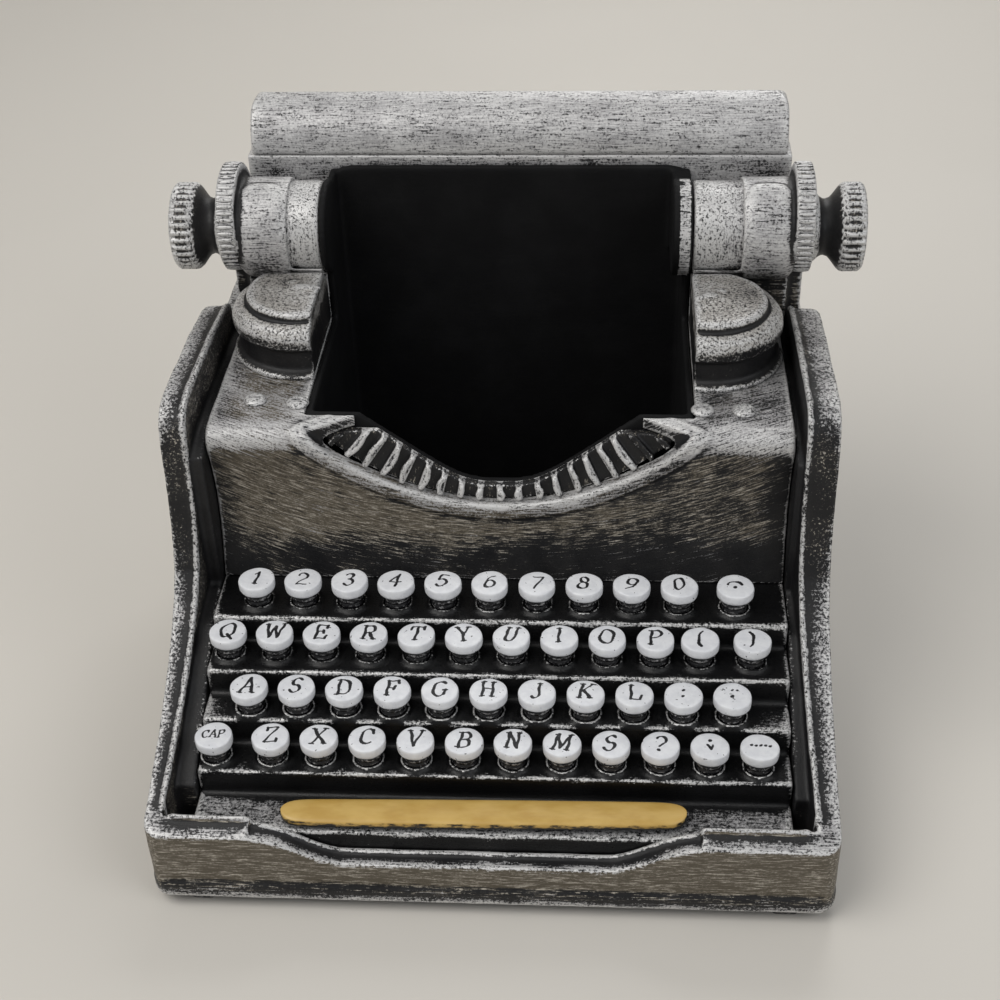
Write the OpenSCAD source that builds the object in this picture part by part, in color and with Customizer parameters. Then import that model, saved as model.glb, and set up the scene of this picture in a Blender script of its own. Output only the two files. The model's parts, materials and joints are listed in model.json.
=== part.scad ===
// Typewriter-shaped desk holder: side frames and apron, stepped key bed with 46 sprung keys and
// a space bar, a deep bin through the deck, and a carriage with two turning platen knobs.
// Bench frame: x = 0 at the middle of the body, y from the front rim backwards, z from the table.

/* [Body] */
// Width across the outer faces of the side frames
body_w = 195; // [194:0.5:198]
// Depth from the front rim to the rear cover
body_d = 185; // [185:0.5:187]
// Height of the front rim at its ends
rim_z = 28.5; // [27.5:0.5:28.5]
// How far the middle of the front rim dips
rim_dip = 10; // [10:0.5:11]
// Height of the flat deck between the side frames
deck_z = 111; // [110.5:0.5:111.5]
// Wall thickness of the side frames at the back
frame_t = 9.5; // [9:0.1:10]

/* [Keys] */
// Distance between neighbouring keys in a row
key_pitch = 14; // [13.6:0.1:14.2]
// Radius of a key cap
cap_r = 5.5; // [5:0.1:5.8]
// Thickness of a key cap
cap_h = 3.6; // [3:0.1:4]
// How far a key goes down
key_travel = 2.8; // [2:0.1:2.8]
// Length of the space bar
bar_l = 115; // [110:1:116]
// How far the space bar goes down
bar_travel = 1.5; // [1.2:0.1:1.5]

/* [Bin] */
// Inner half width of the bin
bin_x = 55; // [50:0.5:55]
// Inner front face of the bin
bin_y0 = 92; // [92:0.5:93]
// Inner rear face of the bin
bin_y1 = 167; // [165:0.5:167]
// Wall thickness of the bin
bin_t = 2; // [1.5:0.1:2]

/* [Carriage] */
// How far the carriage stands to the right of the body's middle
carriage_shift = 2.5; // [0:0.5:2.5]
// Radius of the platen roller
roller_r = 14; // [13:0.1:14]
// Radius of the platen knobs
knob_r = 13.6; // [12:0.1:14]

/* [Hidden] */
$fn = 64;
fit = 0.06;                 // running clearance on a radius
gap = 0.3;                  // clearance between neighbouring covers
foot_h = 4;
plinth_h = 5;
plate_t = 3;
floor_z = foot_h + plate_t;
inner_x = body_w / 2 - frame_t - 2.2;   // inner faces under the deck
rear_t = 5;
rear_half_w = 93.5;
rear_y = 148;               // where the side frames end and the rear housing begins
apron_t = 5.2;
flare = 1.5;                // how far the rim leans out, and the plinth with it
plinth_side = 0.5;          // how far the plinth stands out at the sides
front_r = 5.5;              // corner radii of the body, seen from above
frame_end_r = 9;
rear_r = 7;
band_front = [5, 6.5];      // width of the frames' top bands at the front, left and right
band_back = [frame_t - 1.5, frame_t];
dip_middle = -4;            // the front rim's dip lies a little to the left
dip_x = [36, 63.5];          // half width of the dip at its full depth, and where it ends
knee_y = 75;                // where the frames' top bands reach their full width
foot_at = [inner_x - 4.3, 14, 170];     // x, front y, rear y
foot_r = 6.5;
toe_at = [84, 7.2];          // the front feet reach forward to here, under the plinth
boss = [5, 8];              // radius and height of the bosses above the feet
plate_inset = 4;
screw_r = 1.5;

// Key rows from back to front: cap centre y, cap top z, middle of the row, key names
ROWS = [
    [66.8, 67.4, -2.4, ["1", "2", "3", "4", "5", "6", "7", "8", "9", "0", "fermata"]],
    [52.5, 59.0, -2.4, ["q", "w", "e", "r", "t", "y", "u", "i", "o", "p", "paren_open", "paren_close"]],
    [38.0, 50.6, -1.5, ["a", "s", "d", "f", "g", "h", "j", "k", "l", "colon", "dots"]],
    [26.3, 42.0, -1.0,
        ["cap", "z", "x", "c", "v", "b", "n", "m", "lower_s", "question", "semicolon", "ellipsis"]]
];
KEYS = [for (row = ROWS) for (i = [0 : len(row[3]) - 1])
    [str("key_", row[3][i]), key_x(row, i), row[0], row[1]]];

tread_drop = 9;             // from a cap's top down to its tread
bed_front_run = 6.1;        // from the front row's cap centres forward to the tread's edge
riser_gap = 1;              // between a cap and the riser behind it
bed_half_w = inner_x - gap;
bed_t = 14.5;               // thickness of the bed under a tread
bed_y0 = apron_t + gap;
bed_y1 = 82.5;
shelf_z = 25;
shelf_under_z = 17.5;
collar_h = 1.6;
neck_r = 4;
neck_in = 5;                // how far the neck reaches into its pocket at rest
spring_pressed = 4.2;       // height that a key's spring keeps at the end of the travel
pocket_depth = neck_in + key_travel + spring_pressed;
neck_ring = [4.7, 0.8];     // radius and height of the ring under a cap
stem_r = 1.5;
stem_tip = 0.5;
clip_r = 2.6;
clip_h = 1;
collar_r = 4.8;
spring_r = 3.5;
spring_bore_r = 2;

bar_x = -2;                 // middle of the space bar
bar_y = 10.9;
bar_turn = 1.2;             // the bar lies a little askew, its right end further back
bar_w = 9.8;
bar_h = 3;
bar_z = shelf_z + bar_travel + 0.2;
bar_post_at = [for (s = [-38, 38]) [bar_x + s * cos(bar_turn), bar_y + s * sin(bar_turn)]];
bar_post_r = 2;
bar_pad = [3.2, 1.5];       // radius and height of the pad at a post's foot

lip_z = 155.8;              // centre height of the type basket's lip arc
lip_r = 75.5;
lip_w = 3.2;
deck_t = 4;                 // thickness of the deck sheet
deck_y1 = 168;
bin_floor_t = 2.5;
bin_side_z = 153;           // top of the bin's sides behind the roller
bin_top_z = 154;
bin_corner_r = 6;
bin_cheek_r = 14.5;         // the sides' round front edge, level with the roller
bin_cheek_in = 4;           // how far the right side is thicker there, inwards
bin_ear = [25, 12, 2.5];    // ears that the deck's screws pull up against its underside
cut_plan = [[62, 70], [60, 80], [41.5, 89.8], [41.5, 94]];
basket_z = 150;             // centre height about which the typebars fan out
bar_count = 19;
fan = 47;                   // half angle of the fan

spool_x = 62.5;
spool_y = [130.5, 125.5];   // the left cover stands further back than the right one
spool_r = 22;
screw_at = [[-73, 96.6], [-60, 95.3], [59.4, 93.2], [71.4, 93]];

axis_y = 152;               // platen axis
axis_z = 141;
guide_r = 15.2;
guide_x = [69.5, 85];       // paper guide, from the carriage's middle
carriage_y = [147, 172];    // front and rear of the carriage's end blocks
carriage_end_x = 89.5;
ring_x = [guide_x[1], 90.8];
ring_r = 16.4;
ring_z = 144.2;             // the knurled ring sits a little higher than the platen's axis
shaft_r = 7;                // the platen's shaft through the ring
knob_x = [99.5, 106.8];
bar_back_y = [bin_y1 + bin_t + gap, 180.2];
bar_top_z = 157;
table_half_w = 84.5;
bar_half_w = 86;            // the bar behind the bin, under the paper table
table_r = 14;
table_at = [183, 158.5];    // centre of the paper table's round face
table_corner_r = 3;
table_t = 4.5;

// How far some keys stand off their place in the row
function nudge(name) = name == "cap" ? -2.6 : name == "fermata" ? 2.4 : name == "paren_open" ? -1 : 0;
function key_x(row, i) = row[2] + (i - (len(row[3]) - 1) / 2) * key_pitch + nudge(row[3][i]);
function tread_z(r) = ROWS[r][1] - tread_drop;
function tread_y(r) = r == 3 ? ROWS[r][0] - bed_front_run : ROWS[r + 1][0] + cap_r + riser_gap;
// Points of a cubic curve through a and d, pulled towards b and c
function curve(a, b, c, d, steps = 8) = [for (i = [0 : steps]) let (t = i / steps, s = 1 - t)
    s * s * s * a + 3 * s * s * t * b + 3 * s * t * t * c + t * t * t * d];
function flip(points) = [for (i = [len(points) - 1 : -1 : 0]) points[i]];
function ease(t) = (1 - cos(180 * min(1, max(0, t)))) / 2;

// Top edge of a side frame, seen from the side, as (y, z)
frame_edge = concat(
    curve([-flare, rim_z], [22, 37], [56, 50], [68, 69]),
    curve([68, 69], [73, 80], [74.5, 92], [75.2, 105], 5),
    curve([75.2, 105], [76, 116.5], [79, 119.6], [88, 120], 6),
    [[122, 119.2], [141, 117.4]]);
// Outer face of the concave cowl and its shoulder
cowl_edge = concat(
    curve([78.5, tread_z(0)], [81, 66], [87.5, 82], [80.5, 103], 10),
    curve([80.5, 103], [79, 108], [81, deck_z], [87.5, deck_z], 6));
// The same face, set in by the sheet's thickness
cowl_inner = concat(
    curve([82.5, tread_z(0)], [85, 66], [91.5, 82], [84.5, 102], 10),
    curve([84.5, 102], [84, 105], [85, deck_z - deck_t], [89, deck_z - deck_t], 6));

// Puts bench coordinates into the part's own frame
module placed() {
    translate([-carriage_shift, -body_d / 2, 0]) children();
}

// Turns a drawing in (y, z) into a slab between two x values
module slab(x0, x1) {
    translate([x0, 0, 0]) rotate([90, 0, 90]) linear_extrude(x1 - x0) children();
}

// Turns a drawing in (x, z) into a slab between two y values
module wall(y0, y1) {
    translate([0, y1, 0]) rotate([90, 0, 0]) linear_extrude(y1 - y0) children();
}

module both_sides() {
    children();
    mirror([1, 0, 0]) children();
}

module round_box(half_w, y0, y1, r) {
    translate([-half_w, y0 + r]) square([2 * half_w, y1 - y0 - 2 * r]);
    translate([-half_w + r, y0]) square([2 * (half_w - r), y1 - y0]);
    for (x = [r - half_w, half_w - r], y = [y0 + r, y1 - r]) translate([x, y]) circle(r);
}

// Outline of the body from above, grown at its sides and at its two ends
module body_plan(side = 0, ends = 0) {
    round_box(body_w / 2 + side, -ends, 100, front_r + side);
    round_box(body_w / 2 + side, 60, rear_y, frame_end_r + side);
    round_box(rear_half_w + side, 60, body_d + ends, rear_r + side);
}

module frame_side() {
    polygon(concat(frame_edge, [[141, 110.4], [rear_y, 110.4], [rear_y, foot_h], [0, foot_h]]));
    translate([141, 110.4]) circle(7);
}

// The dip in the front rim: full depth out to one x, and gone at the next
module rim_cut() {
    n = 16;
    run = dip_x[1] - dip_x[0];
    slope = [for (i = [0 : n]) [dip_x[0] + run * i / n, rim_z - rim_dip * (1 - ease(i / n))]];
    top = [dip_x[1], rim_z + 12];
    translate([dip_middle, 0])
        polygon(concat(slope, [top, [-top[0], top[1]]], [for (p = flip(slope)) [-p[0], p[1]]]));
}

module casing() placed() color("dimgray") {
    difference() {
        union() {
            intersection() {
                slab(-body_w / 2, body_w / 2) {
                    frame_side();
                    translate([100, foot_h]) square([body_d - 100, deck_z - foot_h]);
                }
                linear_extrude(200) body_plan(0, flare);
            }
            translate([0, 0, foot_h]) linear_extrude(plinth_h) body_plan(plinth_side, flare);
        }
        difference() {
            translate([-inner_x, apron_t, floor_z]) cube([2 * inner_x, body_d - rear_t - apron_t, 200]);
            for (s = [-1, 1], i = [1, 2])
                translate([s * foot_at[0], foot_at[i], floor_z]) cylinder(r = boss[0], h = boss[1]);
        }
        // Groove between the frames and what lies between them, down to a narrow ledge
        frame_groove();
        translate([0, 0, foot_h - 1]) linear_extrude(plate_t + 1)
            body_plan(-plate_inset, -plate_inset);
        wall(-flare - 1, apron_t + 1) rim_cut();
        for (s = [-1, 1], i = [1, 2])
            translate([s * foot_at[0], foot_at[i], 0]) cylinder(r = screw_r + fit, h = floor_z + 6);
    }
}

// The space above the ledge that runs down the inside of each frame
module frame_groove() {
    half_w = body_w / 2;
    front_x = [band_front[0] - half_w, half_w - band_front[1]];
    back_x = [band_back[0] - half_w, half_w - band_back[1]];
    intersection() {
        slab(front_x[0], front_x[1]) polygon([[apron_t, 17], [18, 17], [18, 29], [60, 54], [76, 58],
            [76, 104], [88, 107], [rear_y, 107], [rear_y, 200], [apron_t, 200]]);
        linear_extrude(200) polygon([[front_x[0], apron_t], [front_x[1], apron_t], [back_x[1], knee_y],
            [back_x[1], rear_y], [back_x[0], rear_y], [back_x[0], knee_y]]);
    }
}

module base_plate() placed() color("black") {
    difference() {
        union() {
            translate([0, 0, foot_h]) linear_extrude(plate_t)
                body_plan(-plate_inset - gap, -plate_inset - gap);
            for (s = [-1, 1], i = [1, 2])
                translate([s * foot_at[0], foot_at[i], 0]) cylinder(r = foot_r, h = foot_h + 1);
            both_sides() translate([toe_at[0], toe_at[1], 0]) cylinder(r = foot_r, h = foot_h - gap);
        }
        for (s = [-1, 1], i = [1, 2]) translate([s * foot_at[0], foot_at[i], -1]) {
            cylinder(r = screw_r + fit, h = 20);
            cylinder(r = 3.3, h = 3.2);
        }
    }
}

module deck_cover() placed() color("dimgray") {
    difference() {
        slab(-bed_half_w, bed_half_w)
            polygon(concat(cowl_edge, [[deck_y1, deck_z], [deck_y1, deck_z - deck_t]], flip(cowl_inner)));
        translate([-bin_x - bin_t - gap, bin_y0 - bin_t - gap, 60])
            cube([2 * (bin_x + bin_t + gap), 100, 80]);
        intersection() {
            translate([0, 60, lip_z]) rotate([-90, 0, 0]) cylinder(r = lip_r - lip_w, h = 60);
            linear_extrude(200) polygon(concat(cut_plan, flip([for (p = cut_plan) [-p[0], p[1]]])));
        }
        for (p = screw_at) translate([p[0], p[1], 90]) cylinder(r = screw_r + fit, h = 40);
    }
}

// Steps of the bed, seen from the side, as (y, z), and the same steps on its underside
function riser(r, drop, floor) = [
    [tread_y(r), (r == 3 ? floor : tread_z(r + 1) - drop)],
    [tread_y(r), tread_z(r) - drop]
];
bed_top = concat(
    [[bed_y0, shelf_z]],
    [for (r = [3 : -1 : 0]) each riser(r, 0, shelf_z)],
    [[bed_y1, tread_z(0)]]);
bed_under = concat(
    [[bed_y1, tread_z(0) - bed_t]],
    [for (r = [0 : 3]) each flip(riser(r, bed_t, shelf_under_z))],
    [[bed_y0, shelf_under_z]]);

module key_bed() placed() color("black") {
    difference() {
        union() {
            slab(-bed_half_w, bed_half_w) polygon(concat(bed_top, bed_under));
            for (k = KEYS) translate([k[1], k[2], k[3] - tread_drop - 1])
                cylinder(r = collar_r, h = 1 + collar_h);
        }
        for (k = KEYS) translate([k[1], k[2], k[3] - tread_drop]) {
            translate([0, 0, -pocket_depth]) cylinder(r = neck_r + fit, h = pocket_depth + 5);
            translate([0, 0, -bed_t - 1]) cylinder(r = stem_r + fit, h = 10);
        }
        for (p = bar_post_at) translate([p[0], p[1], 0]) cylinder(r = bar_post_r + fit, h = 40);
    }
}

module key(k) {
    x = k[1];
    y = k[2];
    tread = k[3] - tread_drop;
    neck_top = k[3] - cap_h;
    placed() translate([x, y, 0]) {
        color("white") translate([0, 0, neck_top]) cylinder(r = cap_r, h = cap_h);
        color("black") {
            translate([0, 0, tread - neck_in]) cylinder(r = neck_r, h = neck_top - tread + neck_in);
            translate([0, 0, neck_top - neck_ring[1]]) cylinder(r = neck_ring[0], h = neck_ring[1]);
            translate([0, 0, tread - bed_t - clip_h - stem_tip])
                cylinder(r = stem_r, h = bed_t + clip_h + stem_tip - neck_in);
            translate([0, 0, tread - bed_t - clip_h]) cylinder(r = clip_r, h = clip_h);
        }
    }
}

// The envelope of each key's coil spring, between the pocket's floor and the neck
module key_springs() placed() color("silver") {
    for (k = KEYS) translate([k[1], k[2], k[3] - tread_drop - pocket_depth]) difference() {
        cylinder(r = spring_r, h = pocket_depth - neck_in);
        translate([0, 0, -1]) cylinder(r = spring_bore_r, h = 20);
    }
    for (p = bar_post_at) translate([p[0], p[1], floor_z]) difference() {
        cylinder(r = spring_r, h = shelf_under_z - bar_pad[1] - floor_z);
        translate([0, 0, -1]) cylinder(r = spring_bore_r, h = 20);
    }
}

module space_bar() placed() {
    color("goldenrod") translate([bar_x, bar_y, bar_z]) rotate([0, 0, bar_turn]) {
        translate([-(bar_l - bar_w) / 2, -bar_w / 2, 0]) cube([bar_l - bar_w, bar_w, bar_h]);
        for (s = [-1, 1]) translate([s * (bar_l - bar_w) / 2, 0, 0]) cylinder(r = bar_w / 2, h = bar_h);
    }
    color("black") for (p = bar_post_at) translate([p[0], p[1], shelf_under_z - bar_pad[1]]) {
        cylinder(r = bar_post_r, h = bar_z - shelf_under_z + bar_pad[1]);
        cylinder(r = bar_pad[0], h = bar_pad[1]);
    }
}

// The dip in the bin's front edge, which the typebars' ends follow
module scoop() {
    half = concat(curve([0, 87.8], [13, 87.8], [13, 89.5], [42, deck_z + 0.5], 12), [[42, deck_z + 20]]);
    polygon(concat(half, [for (i = [len(half) - 1 : -1 : 1]) [-half[i][0], half[i][1]]]));
}

module bin_side() {
    translate([bin_y0 - bin_t, floor_z]) square([bin_y1 + 2 * bin_t - bin_y0, deck_z - floor_z]);
    translate([axis_y, floor_z]) square([bin_y1 + bin_t - axis_y, bin_side_z - floor_z]);
    translate([carriage_y[0], floor_z]) square([axis_y - carriage_y[0], axis_z - floor_z]);
    translate([axis_y, axis_z]) circle(bin_cheek_r);
}

// The part of a side that stands above the deck
module bin_cheek() {
    intersection() {
        bin_side();
        translate([axis_y - 30, axis_z - bin_cheek_r]) square([bin_y1 + 30 - axis_y, 60]);
    }
}

module bin_back() {
    x = bin_x + bin_t;
    r = bin_corner_r;
    translate([-x, floor_z]) square([2 * x, bin_top_z - r - floor_z]);
    translate([r - x, floor_z]) square([2 * (x - r), bin_top_z - floor_z]);
    for (s = [-1, 1]) translate([s * (x - r), bin_top_z - r]) circle(r);
}

module bin() placed() color([0.05, 0.05, 0.05]) {
    difference() {
        union() {
            both_sides() slab(bin_x, bin_x + bin_t) bin_side();
            slab(bin_x - bin_cheek_in, bin_x) bin_cheek();
            wall(bin_y1, bin_y1 + bin_t) bin_back();
            wall(bin_y0 - bin_t, bin_y0)
                translate([-bin_x - bin_t, floor_z]) square([2 * (bin_x + bin_t), deck_z - floor_z]);
            translate([-bin_x, bin_y0, floor_z]) cube([2 * bin_x, bin_y1 - bin_y0, bin_floor_t]);
            both_sides() translate([bin_x, bin_y0 - bin_t, deck_z - deck_t - bin_ear[2]]) cube(bin_ear);
        }
        wall(80, bin_y0 + 1) scoop();
        for (p = screw_at) translate([p[0], p[1], 90]) cylinder(r = screw_r + fit, h = 20);
    }
}

module basket_section() {
    polygon([[72, 85.4], [50, 89.4], [50, 90], [72, 90]]);
}

module rib_section() {
    polygon([[72.5, 83.2], [52, 87.4], [52, 89.5], [72.5, 87]]);
}

module typebars() placed() color("silver") {
    intersection() {
        difference() {
            translate([0, 0, basket_z]) union() {
                rotate([-90, 0, 0]) rotate_extrude() basket_section();
                for (i = [0 : bar_count - 1]) rotate([0, fan * (2 * i / (bar_count - 1) - 1), 0])
                    rotate([0, 90, 0]) translate([0, 0, -0.9]) linear_extrude(1.8) rib_section();
            }
            wall(60, 120) scoop();
        }
        translate([-60, 70, 60]) cube([120, 40, deck_z - deck_t - gap - 60]);
        translate([0, 60, lip_z]) rotate([-90, 0, 0]) cylinder(r = lip_r - lip_w - gap, h = 40);
    }
}

module carriage_block() {
    translate([carriage_y[0], deck_z]) square([carriage_y[1] - carriage_y[0], axis_z - deck_z]);
}

// Section of the carriage beside the bin: a rear block and a trough with a lip under the roller
module trough_section() {
    difference() {
        union() {
            carriage_block();
            difference() {
                translate([axis_y, axis_z]) circle(guide_r);
                translate([axis_y - 30, axis_z - 9]) square([60, 60]);
            }
        }
        translate([axis_y, axis_z]) circle(roller_r + 0.4);
    }
}

module guide_section() {
    difference() {
        union() {
            carriage_block();
            translate([axis_y, axis_z]) circle(guide_r);
        }
        translate([axis_y, axis_z]) circle(roller_r + fit);
    }
}

module carriage_end(side) {
    inner = bin_x + bin_t + gap - side * carriage_shift;
    slab(inner, guide_x[0]) trough_section();
    slab(guide_x[0], guide_x[1]) guide_section();
    difference() {
        union() {
            slab(ring_x[0], ring_x[1]) translate([axis_y, ring_z]) circle(ring_r);
            // This block stands just behind the side frame, and carries the ring
            slab(ring_x[0], carriage_end_x) translate([rear_y + gap, deck_z])
                square([carriage_y[1] - rear_y - gap, ring_z - ring_r + 2 - deck_z]);
        }
        slab(ring_x[0] - 1, ring_x[1] + 1) translate([axis_y, axis_z]) circle(shaft_r + fit);
    }
}

module carriage() placed() color("gray") translate([carriage_shift, 0, 0]) {
    carriage_end(1);
    mirror([1, 0, 0]) carriage_end(-1);
    translate([-bar_half_w, bar_back_y[0], deck_z])
        cube([2 * bar_half_w, bar_back_y[1] - bar_back_y[0], bar_top_z - deck_z]);
}

module table_section() {
    difference() {
        union() {
            intersection() {
                translate(table_at) circle(table_r);
                translate([table_at[0] - 30, bar_top_z]) square([30, 60]);
            }
            translate([180.5, bar_top_z]) square([4.5, table_at[1] + table_r - 2 - bar_top_z]);
            translate([table_at[0], table_at[1] + table_r - 2]) circle(2);
        }
        intersection() {
            translate(table_at) circle(table_r - table_t);
            translate([table_at[0] - 30, bar_top_z - 1]) square([27.5, 60]);
        }
    }
    translate([180.5, deck_z]) square([4.5, bar_top_z + 1 - deck_z]);
}

module paper_table() placed() color("gray") translate([carriage_shift, 0, 0]) {
    intersection() {
        slab(-table_half_w, table_half_w) table_section();
        wall(150, 200) {
            side = table_half_w - table_corner_r;
            under = table_at[1] + table_r - table_corner_r;
            translate([-table_half_w, 0]) square([2 * table_half_w, under]);
            translate([-side, 100]) square([2 * side, under + table_corner_r - 100]);
            for (s = [-1, 1]) translate([s * side, under]) circle(table_corner_r);
        }
    }
}

// Roller, shaft, neck and knob as one turned piece, drawn as (radius, x)
module platen_section(inner) {
    boss_x = ring_x[1] + gap;
    polygon([[0, inner], [roller_r, inner], [roller_r, ring_x[0] - gap], [shaft_r, ring_x[0] - gap],
        [shaft_r, boss_x], [10.8, boss_x], [10.4, boss_x + 1], [9, boss_x + 2.6], [8.8, boss_x + 4],
        [9.6, knob_x[0] - 2.5], [knob_r - 1.8, knob_x[0] - 0.8], [knob_r - 0.8, knob_x[0]],
        [knob_r, knob_x[0] + 0.8], [knob_r, knob_x[1] - 0.9], [knob_r - 0.9, knob_x[1]], [0, knob_x[1]]]);
}

module platen(side) {
    placed() color("silver") translate([carriage_shift, axis_y, axis_z]) mirror([side > 0 ? 0 : 1, 0, 0])
        rotate([0, 90, 0]) rotate_extrude() platen_section(bin_x + bin_t + gap - side * carriage_shift);
}

module left_platen() {
    platen(-1);
}

module right_platen() {
    platen(1);
}

module spool_section() {
    translate([0, deck_z]) polygon([[0, 0], [spool_r + 0.6, 0], [spool_r + 0.6, 1.2], [spool_r - 2, 2.4],
        [spool_r - 2, 8.5], [spool_r, 10.2], [spool_r, 13.4],
        [spool_r - 1.4, 15.8], [18.2, 17], [17.4, 16.8],
        [17, 17.2], [17, 19], [16.2, 19.8], [5, 20], [3, 20.3], [0, 20.3]]);
}

module spool_covers() placed() color("silver") {
    difference() {
        for (i = [0, 1]) translate([(2 * i - 1) * spool_x, spool_y[i], 0]) rotate_extrude() spool_section();
        translate([-bin_x - bin_t - gap, 80, deck_z - 1]) cube([2 * (bin_x + bin_t + gap), 90, 60]);
        translate([-100, carriage_y[0] - gap, deck_z - 1]) cube([200, 30, 60]);
        slab(-100, 100) translate([axis_y, axis_z]) circle(guide_r + gap);
    }
}

module screws() placed() color("silver") {
    for (p = screw_at) translate([p[0], p[1], deck_z]) {
        intersection() {
            cylinder(r = 3.4, h = 3);
            translate([0, 0, -3.2]) sphere(r = 4.7);
        }
        translate([0, 0, -7.5]) cylinder(r = screw_r, h = 8);
    }
    for (s = [-1, 1], i = [1, 2]) translate([s * foot_at[0], foot_at[i], 0]) {
        translate([0, 0, 0.6]) cylinder(r = 3, h = 1.6);
        translate([0, 0, 1.2]) cylinder(r = screw_r, h = floor_z + 3);
    }
}

casing();
base_plate();
deck_cover();
key_bed();
bin();
typebars();
carriage();
paper_table();
left_platen();
right_platen();
spool_covers();
space_bar();
screws();
key_springs();
for (k = KEYS) key(k);
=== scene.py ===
"""Looks of a typewriter-shaped desk holder: cast resin, black under rubbed silver and brown brushing,
46 hand-painted keys, an ochre space bar and two knurled platen knobs. Lengths are in metres."""

import json
import math
import random

import bpy
import numpy as np
from mathutils import Matrix, Vector
from mathutils.bvhtree import BVHTree
from mathutils.kdtree import KDTree

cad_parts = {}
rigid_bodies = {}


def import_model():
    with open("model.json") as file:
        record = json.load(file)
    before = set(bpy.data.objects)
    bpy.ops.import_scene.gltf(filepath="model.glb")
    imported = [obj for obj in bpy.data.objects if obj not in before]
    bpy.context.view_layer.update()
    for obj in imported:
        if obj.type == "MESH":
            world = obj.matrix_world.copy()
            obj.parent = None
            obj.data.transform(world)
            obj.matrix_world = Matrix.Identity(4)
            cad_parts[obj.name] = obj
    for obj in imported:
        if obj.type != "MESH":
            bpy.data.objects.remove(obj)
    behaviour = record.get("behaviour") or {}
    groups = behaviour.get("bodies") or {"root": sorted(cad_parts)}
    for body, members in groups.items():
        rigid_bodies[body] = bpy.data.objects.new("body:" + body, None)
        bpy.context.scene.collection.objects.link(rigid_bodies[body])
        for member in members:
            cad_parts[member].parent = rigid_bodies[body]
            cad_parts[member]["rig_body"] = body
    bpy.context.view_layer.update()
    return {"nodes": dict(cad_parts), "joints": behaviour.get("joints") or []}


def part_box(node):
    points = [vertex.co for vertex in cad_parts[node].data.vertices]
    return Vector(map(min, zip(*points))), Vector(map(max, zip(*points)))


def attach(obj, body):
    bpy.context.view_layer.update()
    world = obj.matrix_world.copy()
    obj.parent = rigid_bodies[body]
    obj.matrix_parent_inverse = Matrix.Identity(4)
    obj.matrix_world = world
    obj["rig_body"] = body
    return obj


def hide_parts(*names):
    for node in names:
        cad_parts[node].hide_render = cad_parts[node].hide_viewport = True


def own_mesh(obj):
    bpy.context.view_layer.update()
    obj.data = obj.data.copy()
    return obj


MM = 0.001
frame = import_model()
NODES = frame["nodes"]


# ---------------------------------------------------------------- camera, floor and light

CAMERA_AT = (0.0281, -0.3948, 0.3677)
CAMERA_TURN = (-4.51, 36.13, 1.94)      # yaw, pitch and roll in degrees
CAMERA_LENS = 57.84


def make_camera():
    """The camera stands in front, a little to the right, and looks down at the keys."""
    yaw, pitch, roll = (math.radians(a) for a in CAMERA_TURN)
    ahead = Vector((math.sin(yaw) * math.cos(pitch), math.cos(yaw) * math.cos(pitch), -math.sin(pitch)))
    level = Vector((math.cos(yaw), -math.sin(yaw), 0))
    below = ahead.cross(level)
    right = math.cos(roll) * level + math.sin(roll) * below
    down = math.cos(roll) * below - math.sin(roll) * level
    data = bpy.data.cameras.new("camera")
    data.lens = CAMERA_LENS
    data.clip_start, data.clip_end = 0.01, 20
    camera = bpy.data.objects.new("camera", data)
    turn = Matrix((right, -down, -ahead)).transposed().to_4x4()
    camera.matrix_world = Matrix.Translation(CAMERA_AT) @ turn
    bpy.context.scene.collection.objects.link(camera)
    bpy.context.scene.camera = camera


def make_light(name, place, target, size, power, colour=(1, 1, 1)):
    data = bpy.data.lights.new(name, "AREA")
    data.shape, data.size, data.energy, data.color = "DISK", size, power, colour
    light = bpy.data.objects.new(name, data)
    light.location = place
    light.rotation_euler = (Vector(target) - Vector(place)).to_track_quat("-Z", "Y").to_euler()
    bpy.context.scene.collection.objects.link(light)


def make_stage():
    """A pale floor that curves up into a wall far behind."""
    front, back, wide, tall, bend = -2.0, 1.2, 3.0, 2.4, 0.5
    under_feet = -0.0002
    turns = np.linspace(0.1, math.pi / 2, 12)
    line = [(front, 0), (back - bend, 0)]
    line += [(back - bend + bend * math.sin(a), bend - bend * math.cos(a)) for a in turns]
    line.append((back, tall))
    verts = [(x, y, z + under_feet) for y, z in line for x in (-wide, wide)]
    faces = [(2 * i, 2 * i + 1, 2 * i + 3, 2 * i + 2) for i in range(len(line) - 1)]
    paint = Paint("pale_floor")
    tone = paint.noise(3, detail=2)
    paint.colour(paint.mix(tone, (0.62, 0.59, 0.54), (0.70, 0.67, 0.62)))
    paint.shader.inputs["Roughness"].default_value = 0.6
    floor = mesh_object("floor", verts, faces, [paint.material])


def make_world():
    world = bpy.data.worlds.new("studio")
    world.use_nodes = True
    back = world.node_tree.nodes["Background"]
    back.inputs["Color"].default_value = (0.95, 0.97, 1.0, 1)
    back.inputs["Strength"].default_value = 0.30
    bpy.context.scene.world = world
    bpy.context.scene.view_settings.view_transform = "Standard"


# ---------------------------------------------------------------- materials

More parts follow.
